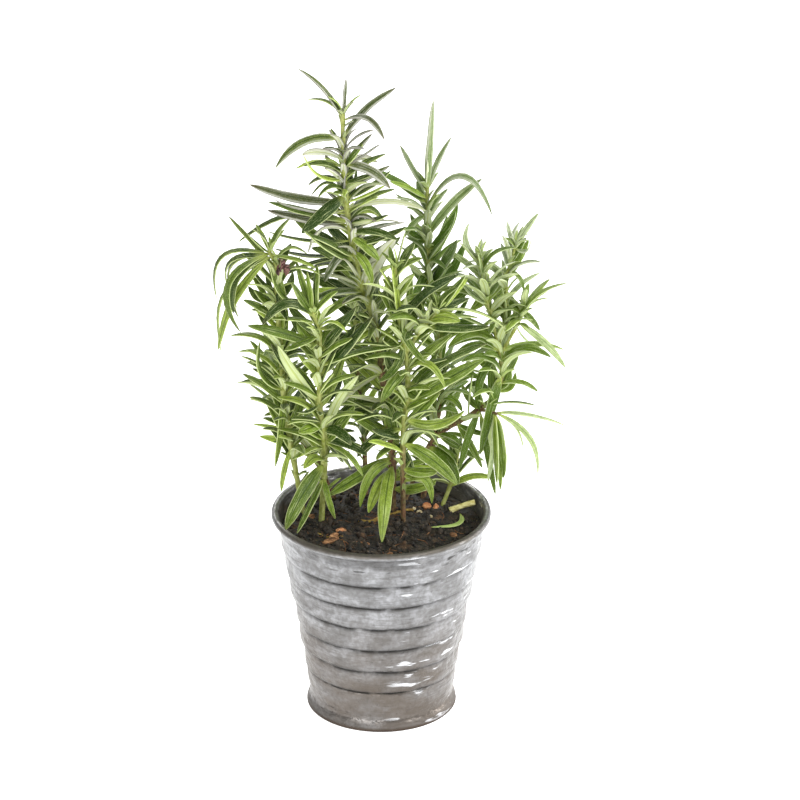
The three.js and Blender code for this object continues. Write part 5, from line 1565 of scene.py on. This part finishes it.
@dataclass
class Foliage:
    """All leaves of the plant: those of the part, and the smaller ones that grow among them.

    Attributes:
        further_tone, further_warmth: Tints of the leaves that the part leaves out.
        fill_rounds: Pairs that are tried between two pairs of the part.
        fill_length, fill_rise, fill_width: Their sizes at the foot and at the tip of a stem.
        bud_length, bud_rise, bud_width: Ranges of the smallest leaves, in the axils and at the tips.
        bud_spacing: Height between them up a stem.
        tip_count, tip_rise: Number and rise of those in the tuft at each tip.
    """

    further_tone: Pair = (0, 0.6)
    further_warmth: float = 0.72
    fill_rounds: int = 4
    fill_turn: float = 47
    fill_length: Pair = (27, 18)
    fill_rise: Pair = (30, 55)
    fill_width: Pair = (4.4, 3.2)
    bud_length: Pair = (6, 14)
    bud_width: Pair = (1.3, 2.3)
    bud_rise: Pair = (35, 78)
    bud_spacing: float = 7
    tip_count: int = 6
    tip_rise: Pair = (52, 80)

    def grow(self) -> Crown:
        """Places every leaf.

        Returns:
            The crown with all its leaves.
        """
        crown = Crown(STEMS)
        crown.grow()
        branch, tints = -1, np.random.default_rng(FURTHER_SEED)
        for index, (node, shoot) in enumerate(crown.shoots):
            branch = 0 if shoot.rooted else branch + 1
            for row in FURTHER.get((node, branch), ()):
                crown.place(index, row, tint=(tints.uniform(*self.further_tone), self.further_warmth))
        for index, (_, shoot) in enumerate(crown.shoots):
            self.fill(crown, index, shoot)
            self.bud(crown, index, shoot)
        log.info("leaves in all: %d", len(crown.leaves))
        return crown

    def fill(self, crown: Crown, index: int, shoot: Shoot) -> None:
        """Adds pairs of shorter leaves between a shoot's own pairs, where there is room.

        Args:
            crown: The crown.
            index: Number of the shoot.
            shoot: The shoot.
        """
        rule = shoot.rule
        for k in range(self.fill_rounds if rule else 0):
            start = rule.start + (k + FILL_START) / self.fill_rounds * rule.spacing
            pairs = Rule(start, rule.end, rule.spacing, self.fill_length, self.fill_rise,
                         self.fill_width, rule.first + self.fill_turn * (k + 1))
            for row in pairs.rows(PartRandom(FILL_SEED + 10 * index + k)):
                crown.place(index, row, strict=True)

    def bud(self, crown: Crown, index: int, shoot: Shoot) -> None:
        """Adds the smallest leaves in the axils up a shoot, and a tuft at its tip.

        Args:
            crown: The crown.
            index: Number of the shoot.
            shoot: The shoot.
        """
        random = np.random.default_rng(BUD_SEED + index)
        low, high = shoot.route[0][2] + BUD_START, shoot.route[-1][2]
        heights = np.arange(low, high - BUD_END, self.bud_spacing)
        for z in (*np.repeat(heights, 2), *np.full(self.tip_count, high - 0.5)):
            heading = random.uniform(0, 2 * math.pi)
            rise = math.radians(random.uniform(*(self.tip_rise if z > high - 1 else self.bud_rise)))
            length = random.uniform(*self.bud_length)
            flat = length * math.cos(rise)
            row = (z + random.uniform(-1.5, 0), flat * math.cos(heading), flat * math.sin(heading),
                   length * math.sin(rise), BUD_BOW * length, random.uniform(*self.bud_width),
                   random.uniform(-BUD_ROLL, BUD_ROLL))
            crown.place(index, row, kind=LeafKind.YOUNG)


@dataclass
class Stems:
    """The plant: a piece of leaves and a piece of wood for each stem of the part.

    Attributes:
        steps: Points between two points of a stem's route.
        sides: Corners round a stem.
        squareness: How far the stem's four edges stand out.
        swelling: How far the stem swells where a leaf leaves it, as a share of its radius.
        swelling_height: Height of such a swelling.
        green: Where the skin turns green, from the top of the bark.
    """

    steps: int = 8
    sides: int = 16
    squareness: float = 0.1
    swelling: float = 0.28
    swelling_height: float = 1.4
    green: Pair = (-30, 12)

    def build(self, crown: Crown) -> None:
        """Builds and dresses all pieces."""
        for stem in STEMS:
            self.leaves(stem, crown)
            self.wood(stem, crown)

    def leaves(self, stem: Shoot, crown: Crown) -> None:
        """Makes the leaves of a stem as one piece.

        Args:
            stem: The stem.
            crown: The crown with its leaves.
        """
        number = crown.number[stem.node]
        shell = Shell(*LEAF_MARKS)
        for kind, surface in SURFACES.items():
            chosen = [k for k, owner in enumerate(crown.owner) if owner == number and crown.kind[k] == kind]
            if chosen:
                tints = np.array([crown.tints[k] for k in chosen])
                leaves = joined([crown.leaves[k] for k in chosen])
                surface.add_to(shell, leaves, tints, kind.value, LEAF_SEED + number)
        piece = shell.make(f"{stem.node}_leaves", material_of(stem.finish))
        place_on_part(piece, stem.finish.slot, stem.node)

    def wood(self, stem: Shoot, crown: Crown) -> None:
        """Makes a stem with its branches as one piece, with its foot in the soil.

        The section is 1 - q + q cos 4v times the radius, and the radius has a bell of the swelling
        at the height of each leaf's foot.

        Args:
            stem: The stem.
            crown: The crown with its leaves.
        """
        shell = Shell("woody")
        number = crown.number[stem.node]
        feet = np.array([leaf.foot[0] for leaf, owner, kind in zip(crown.leaves, crown.owner, crown.kind)
                         if owner == number and kind == LeafKind.FULL])
        shape = 1 - self.squareness + self.squareness * np.cos(4 * full_turn(self.sides))
        for shoot in (stem, *stem.branches):
            line = shoot.line(self.steps)
            radii = mix(*shoot.radius, np.linspace(0, 1, len(line)))
            if shoot.rooted:
                depth = np.linspace(FOOT_DEPTH, 0, 7)[:-1]
                line = np.vstack([line[0] - np.outer(depth, [0, 0, 1]), line])
                foot = shoot.radius[0] * mix(1, FOOT_TAPER, depth / FOOT_DEPTH)
                radii = np.concatenate([foot, radii])
            apart = np.linalg.norm(line[:, None] - feet[None], axis=-1)
            radii = radii * (1 + self.swelling * bell(apart, self.swelling_height).max(axis=1))
            tip = line[-1] + unit(line[-1] - line[-2]) * BUD_LENGTH
            start = line[0] - unit(line[1] - line[0]) * 0.5
            woody = 1 - smooth(line[:, 2], *(stem.wood_top + reach for reach in self.green))
            rings = along_path(line, radii, shape)
            shell.add_tubes(rings[None], start[None], tip[None], woody=woody[None, :, None])
        piece = shell.make(f"{stem.node}_wood", material_of(WoodFinish()))
        place_on_part(piece, stem.finish.slot, stem.node)


@dataclass
class DriedFlower:
    """Small dried flower head on a short stalk, which leaves the far left stem near its top.

    Attributes:
        foot: Point in the stem where the stalk starts.
        head: Middle of the flower head.
        stalk: Radius of the stalk.
        flakes: Number of dry petals.
        length, width: Ranges of their sizes.
        lean: Where most of them look.
    """

    foot: Place = (-50.9, -6, 235.8)
    head: Place = (-46.8, -13, 241)
    stalk: float = 0.45
    flakes: int = 15
    length: Pair = (2.6, 4.6)
    width: Pair = (1.5, 2.6)
    lean: Place = (0.3, -0.3, 0.1)
    seed: int = 77
    finish: LeafFinish = LeafFinish(
        "leaf_dried", "leaf_green", deep=(46, 28, 28), fresh=(104, 72, 64), bright=(128, 96, 80),
        under=(132, 98, 90), margin=(150, 118, 110), root=(84, 62, 48), tip=(60, 40, 38),
        young=(96, 70, 60), aged_from=400, aged_to=500)

    def build(self) -> None:
        """Builds and dresses the flower head: petals that stand out from a point all round."""
        random = np.random.default_rng(self.seed)
        way = unit(random.normal(0, 1, (self.flakes, 3)) + np.array(self.lean))
        length = random.uniform(*self.length, self.flakes)
        width = random.uniform(*self.width, self.flakes)
        petals = Leaves(np.array(self.head) + 0.3 * way, way * length[:, None], 0.25 * length, width,
                        random.uniform(-1, 1, self.flakes), 0.2 * length)
        shell = Shell(*LEAF_MARKS)
        SMALL_LEAF.add_to(shell, petals, random.uniform(0, 0.7, (self.flakes, 2)), 0, self.seed)
        spine = np.linspace(self.foot, self.head, 6)
        spine[:, 2] += 0.6 * np.sin(np.pi * np.linspace(0, 1, 6))
        rings = along_path(spine, np.full(6, self.stalk), np.ones(8))
        shell.add_tubes(rings[None], spine[:1], spine[-1:])
        place_on_part(shell.make("dried_flower", material_of(self.finish)), self.finish.slot)


# Soil


ROOTLET = BarkFinish("rootlet", (150, 112, 76), (92, 62, 42))
BARK = BarkFinish("bark")
ORANGE = BarkFinish("orange_bark", (214, 158, 112), (160, 104, 66))
CREAM = BarkFinish("cream_bit", (218, 208, 172), (166, 150, 112))
TAN = BarkFinish("tan_bark", (190, 146, 104), (108, 74, 48))
OLD_STEM = BarkFinish("old_stem", (166, 142, 70), (112, 88, 44))
DRY_TWIG = BarkFinish("twig", (222, 218, 156), (176, 166, 102))


def rough_surface(x: Array, y: Array) -> Array:
    """Height of the finished soil: the part's height and three sizes of noise, faded at the wall."""
    flat = np.stack([x, y, np.zeros_like(x)], axis=-1)
    fade = 1 - np.minimum(1, np.hypot(x, y) / inner_radius(SOIL_EDGE_HEIGHT)) ** SOIL_FADE
    rough = sum(height * lattice_noise(flat, size, seed) for height, size, seed in SOIL_NOISE)
    return soil_height(x, y) + rough * fade


@dataclass(frozen=True)
class Chip:
    """Flaky chip on the soil: a flattened ball of power-shaped section, roughened in layers.

    Attributes:
        name: Name of the piece.
        place: Its place on the soil.
        size: Length, breadth and thickness.
        turn, lean: Heading, and lean about its length, in degrees.
        seed: Seed of its roughness.
        finish: Its finish.
        node: Node of the part that it stands for, if there is one.
    """

    name: str
    place: Pair
    size: Place
    turn: float
    lean: float
    seed: int
    finish: BarkFinish
    node: str = ""

    def build(self) -> None:
        """Builds and dresses the chip."""
        polar = np.linspace(np.pi - 0.25, 0.25, 16)[:, None]
        ball = turned(np.sin(polar) ** 0.35, np.cos(polar), full_turn(28))
        outline = 0.86 + 0.16 * lattice_noise(ball * np.array([1, 1, 0]), 0.55, self.seed)
        layers = 1 + 0.1 * lattice_noise(ball * np.array([0.6, 0.6, 4]), 0.5, self.seed + 20)
        body = ball * (outline * layers)[..., None] * (0.5 * np.array(self.size))
        body[..., 2] += 0.25 * lattice_noise(body, 1.6, self.seed + 40)
        a, b = math.radians(self.lean), math.radians(self.turn)
        tilt = np.array([[1, 0, 0], [0, math.cos(a), -math.sin(a)], [0, math.sin(a), math.cos(a)]])
        spin = np.array([[math.cos(b), -math.sin(b), 0], [math.sin(b), math.cos(b), 0], [0, 0, 1]])
        height = float(soil_height(*(np.array(value) for value in self.place)))
        middle = np.array([*self.place, height + 0.2 * self.size[2]])
        rings = body @ (spin @ tilt).T + middle
        shell = Shell()
        shell.add_tubes(rings[None], rings[:1].mean(axis=1), rings[-1:].mean(axis=1))
        nodes = (self.node,) if self.node else ()
        place_on_part(shell.make(self.name, material_of(self.finish)), "bark", *nodes)


CHIPS = (
    Chip("bark_piece_1", (-19, -10), (8, 4.6, 2.6), 62, 12, 1, BARK, "bark_chip_1"),
    Chip("bark_piece_2", (-25, -21), (12, 5.6, 2.6), 48, -10, 2, BARK, "bark_chip_2"),
    Chip("bark_piece_3", (23, 20), (5, 4.5, 2.6), 15, 10, 3, ORANGE, "bark_chip_3"),
    Chip("bark_piece_4", (4, -36), (6, 3.5, 1.5), 60, -8, 4, BARK, "bark_chip_4"),
    Chip("bark_piece_5", (36, -14), (7, 4, 1.6), -60, 8, 5, BARK, "bark_chip_5"),
    Chip("cream_bit_1", (19.2, 12.2), (3.4, 2.6, 1.8), 20, 10, 60, CREAM),
    Chip("cream_bit_2", (24.5, 5.9), (3.2, 2.4, 1.6), -35, -12, 61, CREAM),
    Chip("cream_bit_3", (16.5, 15.5), (2.6, 2.0, 1.4), 70, 8, 62, CREAM),
    Chip("tan_flake", (27.6, 18.4), (5.5, 3.2, 2.0), 80, 35, 63, ORANGE),
    Chip("dark_flake_1", (-36, 6), (7, 4, 1.6), 30, 14, 64, BARK),
    Chip("dark_flake_2", (-8, -24), (6, 3, 1.4), -20, -10, 65, BARK),
    Chip("pink_flake", (-41, 20), (6, 4, 1.8), 60, 12, 66, ORANGE),
    Chip("pink_bark", (-20.5, -11.5), (5, 3.4, 3.2), 40, -20, 67, ORANGE),
    Chip("tan_bark", (-23.5, -16.5), (8, 3.2, 2.8), 55, 25, 68, TAN),
)


@dataclass
class Soil:
    """Peat in the pot, with crumbs, rootlets, chips of bark, a fallen leaf and a twig on it.

    Attributes:
        rings, sectors: Rings of the surface from the wall to the middle, and points round each.
        side_heights: Heights of the rings down the side.
        crumbs, crumb_size: Number of crumbs, and their least and greatest radius.
        crumb_rings: Angles of a crumb's rings from its top, in degrees.
        rootlets: Number of rootlets.
        rootlet_length, rootlet_radius: Ranges of their sizes.
        rootlet_bend: How far their ends turn either way, in radians.
        crumb_edge, rootlet_edge: How far they keep from the wall.
    """

    rings: int = 80
    sectors: int = 220
    side_heights: Pair = (38, 70)
    crumbs: int = 1500
    crumb_size: Pair = (0.25, 1.9)
    crumb_rings: Row = (150, 115, 75, 35)
    crumb_edge: float = 2.2
    rootlets: int = 46
    rootlet_length: Pair = (4, 13)
    rootlet_radius: Pair = (0.12, 0.32)
    rootlet_bend: float = 1.2
    rootlet_edge: float = 9

    def build(self) -> None:
        """Builds and dresses the soil and all that lies on it."""
        random = np.random.default_rng(SOIL_SEED)
        self.body()
        self.loose_crumbs(random)
        self.loose_rootlets(random)
        for chip in CHIPS:
            chip.build()
        self.stick("old_stem", ((-13.1, -0.4), (-3.6, 0.8), (6.9, 10.3), (16, 13.8)), 1.0)
        self.stick("old_stalk", ((-33, -12), (-27, -16), (-19, -17.5)), 0.5)
        self.fallen_leaf()
        self.twig()

    def body(self) -> None:
        """Makes the soil: a turned body under a surface that is lifted by its height."""
        edge = inner_radius(SOIL_EDGE_HEIGHT) - GAP
        low = np.array([SOIL_BOTTOM, WALL_BOTTOM, *self.side_heights])
        sides = inner_radius(np.maximum(low, WALL_BOTTOM)) - GAP
        radius = np.concatenate([[0.5], sides, edge * np.linspace(1, 0.01, self.rings)])
        height = np.concatenate([[SOIL_BOTTOM], low, np.zeros(self.rings)])
        places = turned(radius[:, None], height[:, None], full_turn(self.sectors))
        top = places[len(low) + 1:]
        top[..., 2] = rough_surface(top[..., 0], top[..., 1])
        middle = np.array([[0, 0, float(rough_surface(np.zeros(1), np.zeros(1))[0])]])
        shell = Shell("tone")
        shell.add_tubes(places[None], np.array([[0, 0, SOIL_BOTTOM]]), middle)
        place_on_part(shell.make("peat", material_of(SoilFinish())), "moist_peat", "soil")

    def scatter(self, random: np.random.Generator, count: int, edge: float) -> tuple[Array, Array]:
        """Places spread evenly over the soil: radius reach u^0.5, heading v.

        Args:
            random: Where the numbers u and v come from.
            count: Number of places.
            edge: How far they keep from the wall.

        Returns:
            Places to the right and to the back.
        """
        radius = (inner_radius(SOIL_EDGE_HEIGHT) - edge) * np.sqrt(random.uniform(0, 1, count))
        heading = random.uniform(0, 2 * np.pi, count)
        return radius * np.cos(heading), radius * np.sin(heading)

    def loose_crumbs(self, random: np.random.Generator) -> None:
        """Makes the crumbs on the soil as one piece: balls drawn out and roughened at random.

        Args:
            random: Where their places and sizes come from.
        """
        x, y = self.scatter(random, self.crumbs, self.crumb_edge)
        size = random.gamma(2.2, 0.28, self.crumbs).clip(*self.crumb_size)
        centre = np.stack([x, y, rough_surface(x, y) + 0.25 * size], axis=-1)
        polar = np.radians(self.crumb_rings)[:, None]
        ball = turned(np.sin(polar), np.cos(polar), full_turn(7))
        spread = random.uniform(0.6, 1.25, (self.crumbs, 1, 1, 3)) * size[:, None, None, None]
        rough = random.uniform(0.75, 1.2, (self.crumbs, *ball.shape[:2], 1))
        rings = centre[:, None, None] + ball[None] * spread * rough
        pole = np.array([0, 0, 1.0]) * spread[:, 0, 0] * 0.9
        shell = Shell("tone")
        tone = random.uniform(0, 1, self.crumbs)[:, None, None] ** 3
        shell.add_tubes(rings, centre - pole, centre + pole, tone=tone)
        place_on_part(shell.make("peat_crumbs", material_of(SoilFinish())), "moist_peat")

    def loose_rootlets(self, random: np.random.Generator) -> None:
        """Makes the rootlets on the soil as one piece: thin tubes that bend evenly and taper.

        Args:
            random: Where their places and sizes come from.
        """
        x, y = self.scatter(random, self.rootlets, self.rootlet_edge)
        heading = random.uniform(0, 2 * np.pi, self.rootlets)
        steps = np.linspace(-0.5, 0.5, 9)
        shell = Shell("tone")
        for k in range(self.rootlets):
            reach = random.uniform(*self.rootlet_length)
            bend = heading[k] + random.uniform(-self.rootlet_bend, self.rootlet_bend) * steps
            right, back = x[k] + reach * steps * np.cos(bend), y[k] + reach * steps * np.sin(bend)
            spine = np.column_stack([right, back, rough_surface(right, back) + 0.1])
            taper = np.sqrt(np.maximum(0.15, 1 - (2 * steps) ** 2))
            rings = along_path(spine, random.uniform(*self.rootlet_radius) * taper, np.ones(6))
            shell.add_tubes(rings[None], spine[:1], spine[-1:], tone=1.0)
        place_on_part(shell.make("rootlets", material_of(ROOTLET)), "bark")

    def stick(self, name: str, places: tuple[Pair, ...], radius: float) -> None:
        """Makes a dry stem that lies on the soil through a few places, a third sunk in.

        Args:
            name: Name of the piece.
            places: Its places on the soil.
            radius: Its radius.
        """
        line = Shoot(route=tuple((x, y, 0.0) for x, y in places), radius=(radius, radius)).line(7)
        line[:, 2] = rough_surface(line[:, 0], line[:, 1]) + 0.4 * radius
        share = np.linspace(0, 1, len(line))
        radii = radius * (1 - 0.3 * share) * (1 + 0.08 * np.sin(21 * share))
        shell = Shell()
        rings = along_path(line, radii, 1 + 0.08 * np.cos(2 * np.arange(10)))
        shell.add_tubes(rings[None], line[:1], line[-1:])
        place_on_part(shell.make(name, material_of(OLD_STEM)), "bark")

    def fallen_leaf(self) -> None:
        """Makes the pale leaf that lies on the soil, with the same surface as those of the plant."""
        foot, along, bow, width, roll, sway = (39.4, 9.6, 99.0), (-14.5, -17.8, 0.6), 0.45, 2.8, 0.0, -8.4
        leaf = Leaves(*(np.array([value], dtype=float) for value in (foot, along, bow, width, roll, sway)))
        finish = LeafFinish("leaf_fallen", "leaf_pale_green", deep=(120, 146, 64), fresh=(150, 172, 96),
                            bright=(172, 190, 120))
        shell = Shell(*LEAF_MARKS)
        FULL_LEAF.add_to(shell, leaf, np.array([[0.9, 0.8]]), young=0.6, seed=5)
        place_on_part(shell.make("fallen_rosemary_leaf", material_of(finish)), finish.slot, "fallen_leaf")

    def twig(self) -> None:
        """Makes the short twig: a slightly arched tube with a knob at its lower end."""
        u = np.linspace(0, 1, 14)
        start, end, arch = np.array([34.5, 13.5, 98.9]), np.array([47.2, 15, 102.9]), [-0.15, 0.4, 0.2]
        spine = start + (end - start) * u[:, None] + np.array(arch) * np.sin(np.pi * u[:, None])
        radii = (1.4 + 0.1 * np.sin(9 * u)) * (1 + 0.35 * bell(u, 0.1))
        rings = along_path(spine, radii, 1 + 0.06 * np.cos(3 * np.arange(12)))
        shell = Shell()
        shell.add_tubes(rings[None], spine[:1], spine[-1:])
        place_on_part(shell.make("dry_twig", material_of(DRY_TWIG)), "bark", "twig")


# Pot


@dataclass
class Pot:
    """Tapered sheet wall with six rolled bands, a rolled rim and a hemmed foot, and its base.

    Attributes:
        sectors, base_sectors: Points round the wall and the base.
        hem: Profile of the hemmed foot: how far inside the hem's radius, and height.
        swell: How far the plain foot swells, from what height, and how high the swelling is.
        band_steps: Points of the profile in each band.
        band_climb: Share of a band over which it climbs to the roll.
        band_fall: Share from which it falls off to the next groove.
        creases: Strength and width of the painted shade over a groove, up the band, and under the next one.
        bead: First angle, last angle and points of the rim's bead, in degrees.
        worn: Strength of the rim's wear, and the heights between which it sets in.
        lining: Heights of the rings down the inside.
        dent: Depth of the shallow dents.
        dented: Heights between which the dents set in, and between which they end.
    """

    sectors: int = 320
    base_sectors: int = 160
    hem: tuple[Pair, ...] = ((0.9, 0), (0.4, 0.12), (0.08, 0.5), (0, 1), (0.12, 1.8), (0.42, 2.6),
                             (0.65, 3.4), (1.15, 4.3), (1.65, 5.4))
    swell: Place = (0.2, 6, 16)
    band_steps: int = 16
    band_climb: float = 0.13
    band_fall: float = 0.2
    creases: tuple[Pair, Pair, Pair] = ((0.75, 0.12), (0.25, 0.3), (0.8, 0.1))
    bead: tuple[float, float, int] = (-105, 175, 15)
    worn: Place = (0.85, 103.9, 105.2)
    lining: Row = (102, 99.5, 97, 90, 78, 54, 30)
    dent: float = 0.5
    dented: tuple[Pair, Pair] = ((7, 16), (98, 101.5))

    def build(self) -> None:
        """Builds and dresses the wall and the base."""
        self.wall()
        self.base()

    def wall_radius(self, z: Array) -> Array:
        """Outside radius without bands: foot radius + taper z + flare z^2."""
        return WALL_FOOT_RADIUS + WALL_TAPER * z + WALL_FLARE * z * z

    def band_rise(self, u: Array) -> Array:
        """Height of a band's profile over the plain wall.

        It climbs quickly from the groove to the roll, and falls off slowly to the next groove, both
        by soft steps.

        Args:
            u: Share of the way up the band.

        Returns:
            Height at each share.
        """
        climb = smooth(u, 0.0, self.band_climb)
        fall = 1 - smooth(u, self.band_fall, 1.0)
        return mix(-GROOVE_DEPTH, BAND_BULGE + 0.2, climb * (0.25 + 0.75 * fall))

    def strip(self, radius: Array, height: Array, crease: Array = 0.0, rim: Array = 0.0,
              inside: Array = 0.0) -> Array:
        """Rows of a profile: radius, height, painted shade in the creases, wear of the rim, and painted
        shade down the lining.
        """
        return np.column_stack(np.broadcast_arrays(radius, height, crease, rim, inside))

    def outside(self) -> Array:
        """Profile of the outside from the foot to under the rim.

        Returns:
            Rows of the profile.
        """
        inward, up = np.array(self.hem).T
        rise, low, tall = self.swell
        z = np.linspace(WALL_BOTTOM, LOWEST_GROOVE - 0.6, 9)
        foot = self.strip(HEM_RADIUS - inward, up)
        plain = self.strip(self.wall_radius(z) + rise * np.sin(np.pi * (z - low) / tall), z)
        (above, thin), (over, wide), (under, near) = self.creases
        u = np.linspace(0, 1, self.band_steps, endpoint=False) ** 1.3
        # painted shade over each groove, up the band and under the next roll
        crease = above * bell(u, thin) + over * np.exp(-u / wide) + under * bell(u, near, 1)
        bands = []
        for groove in range(GROOVE_COUNT):
            z = LOWEST_GROOVE + (groove + u) * GROOVE_SPACING
            band = self.strip(self.wall_radius(z) + self.band_rise(u), z, crease)
            bands.append(band[z < WALL_TOP - 1.5])
        # painted shade under the rim
        top = self.strip(self.wall_radius(WALL_TOP) - 0.35, WALL_TOP, 0.5)
        return np.vstack([foot, plain, *bands, top])

    def wall(self) -> None:
        """Makes the wall: its whole profile turned about the axis, with shallow dents.

        The painted shade in the creases is fainter at both sides, where the light falls, and the rim is
        worn most in front.
        """
        angle = np.radians(np.linspace(*self.bead))
        strength, low, high = self.worn
        worn = strength * smooth(RIM_HEIGHT + 1.4 * np.sin(angle), low, high)
        rim = self.strip(RIM_RADIUS + RIM_BEAD_RADIUS * np.cos(angle),
                         RIM_HEIGHT + RIM_BEAD_RADIUS * np.sin(angle), rim=worn)
        z = np.array([*self.lining, WALL_BOTTOM])
        # painted shade down the inside: darker below the rim
        shade = smooth(z[0] - z, -1, 4) * 0.75 + 0.2
        lining = self.strip(inner_radius(z), z, inside=shade)
        lip_radius = BASE_RADIUS + GAP
        lip = self.strip([inner_radius(WALL_BOTTOM), lip_radius, lip_radius, HEM_RADIUS - 2.0],
                         [LIP_THICKNESS, LIP_THICKNESS, 0, 0])
        profile = np.vstack([self.outside(), rim, lining, lip])
        radius, height, crease, rim, inside = (column[:, None] for column in profile.T)
        turn = full_turn(self.sectors)
        height = height * np.ones_like(turn)
        around = turned(NOISE_RADIUS * np.ones_like(height), height, turn)
        dents = lattice_noise(around, 13, 2) + 0.45 * lattice_noise(around, 5, 4)
        start, end = self.dented
        body = smooth(height, *start) * (1 - smooth(height, *end))
        radius = radius + (self.dent * dents - 0.15) * body
        # the painted shade in the creases is fainter at both sides, where the light falls
        fade = 1 - 0.55 * smooth(np.cos(turn), 0.3, 0.75) - 0.4 * smooth(-np.cos(turn), 0.62, 0.9)
        front = mix(0.3, 1.0, smooth(-np.sin(turn), 0.1, 0.7))
        shell = Shell("crease", "rim", "inside")
        shell.add_ring(turned(radius, height, turn), crease=crease * fade, rim=rim * front, inside=inside)
        place_on_part(shell.make("ribbed_wall", material_of(ZincFinish())), "galvanised_steel", "pot_wall")

    def base(self) -> None:
        """Makes the base: a pressed disc with a raised ring, whose flange lies on the hem's lip."""
        flange = LIP_THICKNESS + GAP
        top = flange + BASE_THICKNESS
        profile = np.array([
            (4, 0), (14, 0), (15, 0.35), (18, 0.35), (19, 0), (BASE_RADIUS - 0.5, 0), (BASE_RADIUS, 0.3),
            (BASE_RADIUS, flange), (BASE_FLANGE_RADIUS, flange), (BASE_FLANGE_RADIUS, top), (4, top),
        ])
        rings = turned(profile[:, :1], profile[:, 1:], full_turn(self.base_sectors))
        shell = Shell("crease", "rim", "inside")
        shell.add_tubes(rings[None], np.zeros((1, 3)), np.array([[0, 0, top]]))
        place_on_part(shell.make("pressed_base", material_of(ZincFinish())), "galvanised_steel", "pot_base")


# Stage


@dataclass
class Studio:
    """Pale floor, soft light and the photograph's camera. Places are in metres.

    Attributes:
        floor_half: Half the floor's side.
        sky: Strength of the even light from all round.
        lights: Name, place, side and power in watts of each soft light.
        aim: Height that the lights face.
        camera_tilt: Tilt from straight down, in degrees.
        focal_length: Focal length in millimetres.
    """

    floor_half: float = 4.0
    sky: float = 0.45
    lights: tuple[tuple[str, Place, float, float], ...] = (
        ("key", (1.1, -0.9, 1.3), 0.8, 22), ("window", (1.3, 0.2, 0.5), 0.45, 12),
        ("back", (-0.4, 1.5, 1.6), 1.0, 32), ("front", (-0.7, -1.5, 0.65), 0.9, 15),
    )
    aim: float = 0.15
    camera_place: Place = (0.0094, -1.8111, 0.9533)
    camera_tilt: float = 66.495
    focal_length: float = 179.82

    def build(self) -> None:
        """Builds the floor, the world, the lights and the camera."""
        self.floor()
        self.world()
        for light in self.lights:
            self.light(*light)
        self.camera()
        bpy.context.scene.view_settings.view_transform = "Standard"

    def floor(self) -> None:
        """Makes the floor: pale, and bright enough by itself to read as white."""
        half = self.floor_half
        corners = [(-half, -half, 0), (half, -half, 0), (half, half, 0), (-half, half, 0)]
        mesh = bpy.data.meshes.new("floor")
        mesh.from_pydata(corners, [], [(0, 1, 2, 3)])
        recipe = Recipe("pale_floor")
        recipe.shader.inputs["Base Color"].default_value = linear((238, 238, 238))
        recipe.shader.inputs["Emission Color"].default_value = linear((255, 255, 255))
        recipe.set(Roughness=0.9, Emission_Strength=0.8)
        mesh.materials.append(recipe.material)
        floor = bpy.data.objects.new("floor", mesh)
        bpy.context.scene.collection.objects.link(floor)
        floor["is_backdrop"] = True

    def world(self) -> None:
        """Lights the scene evenly from all round."""
        world = bpy.data.worlds.new("studio")
        world.use_nodes = True
        background = world.node_tree.nodes["Background"]
        background.inputs["Color"].default_value = (1.0, 1.0, 0.98, 1.0)
        background.inputs["Strength"].default_value = self.sky
        bpy.context.scene.world = world

    def light(self, name: str, place: Place, size: float, power: float) -> None:
        """Adds a square soft light that faces the plant.

        Args:
            name: Name of the light.
            place: Where it stands.
            size: Its side.
            power: Its power in watts.
        """
        lamp = bpy.data.lights.new(name, "AREA")
        lamp.size, lamp.energy = size, power
        holder = bpy.data.objects.new(name, lamp)
        holder.location = place
        right, back, up = unit(np.array([0, 0, self.aim]) - np.array(place))
        holder.rotation_euler = (math.acos(-up), 0.0, math.atan2(back, right) - math.pi / 2)
        bpy.context.scene.collection.objects.link(holder)

    def camera(self) -> None:
        """Adds the camera, level and facing the front of the plant from a little above."""
        lens = bpy.data.cameras.new("photo_camera")
        lens.lens, lens.sensor_width, lens.clip_start = self.focal_length, 36.0, 0.05
        camera = bpy.data.objects.new("photo_camera", lens)
        camera.location = self.camera_place
        camera.rotation_euler = (math.radians(self.camera_tilt), 0.0, 0.0)
        bpy.context.scene.collection.objects.link(camera)
        bpy.context.scene.camera = camera


def plain(box: tuple) -> list[list[float]]:
    """Box as plain lists in metres."""
    return [[round(float(value), 5) for value in corner] for corner in box]


def write_sizes() -> None:
    """Puts the part's box and the finished model's box side by side in metres, without keeping them."""
    {"cad": plain(CAD_BOX), "visual": plain(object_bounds())}


def main() -> None:
    """Builds the stage, the pot, the soil and the plant."""
    logging.basicConfig(level=logging.INFO, format="%(name)s: %(message)s")
    Studio().build()
    Pot().build()
    Soil().build()
    Stems().build(Foliage().grow())
    DriedFlower().build()
    write_sizes()


if __name__ == "__main__":
    main()
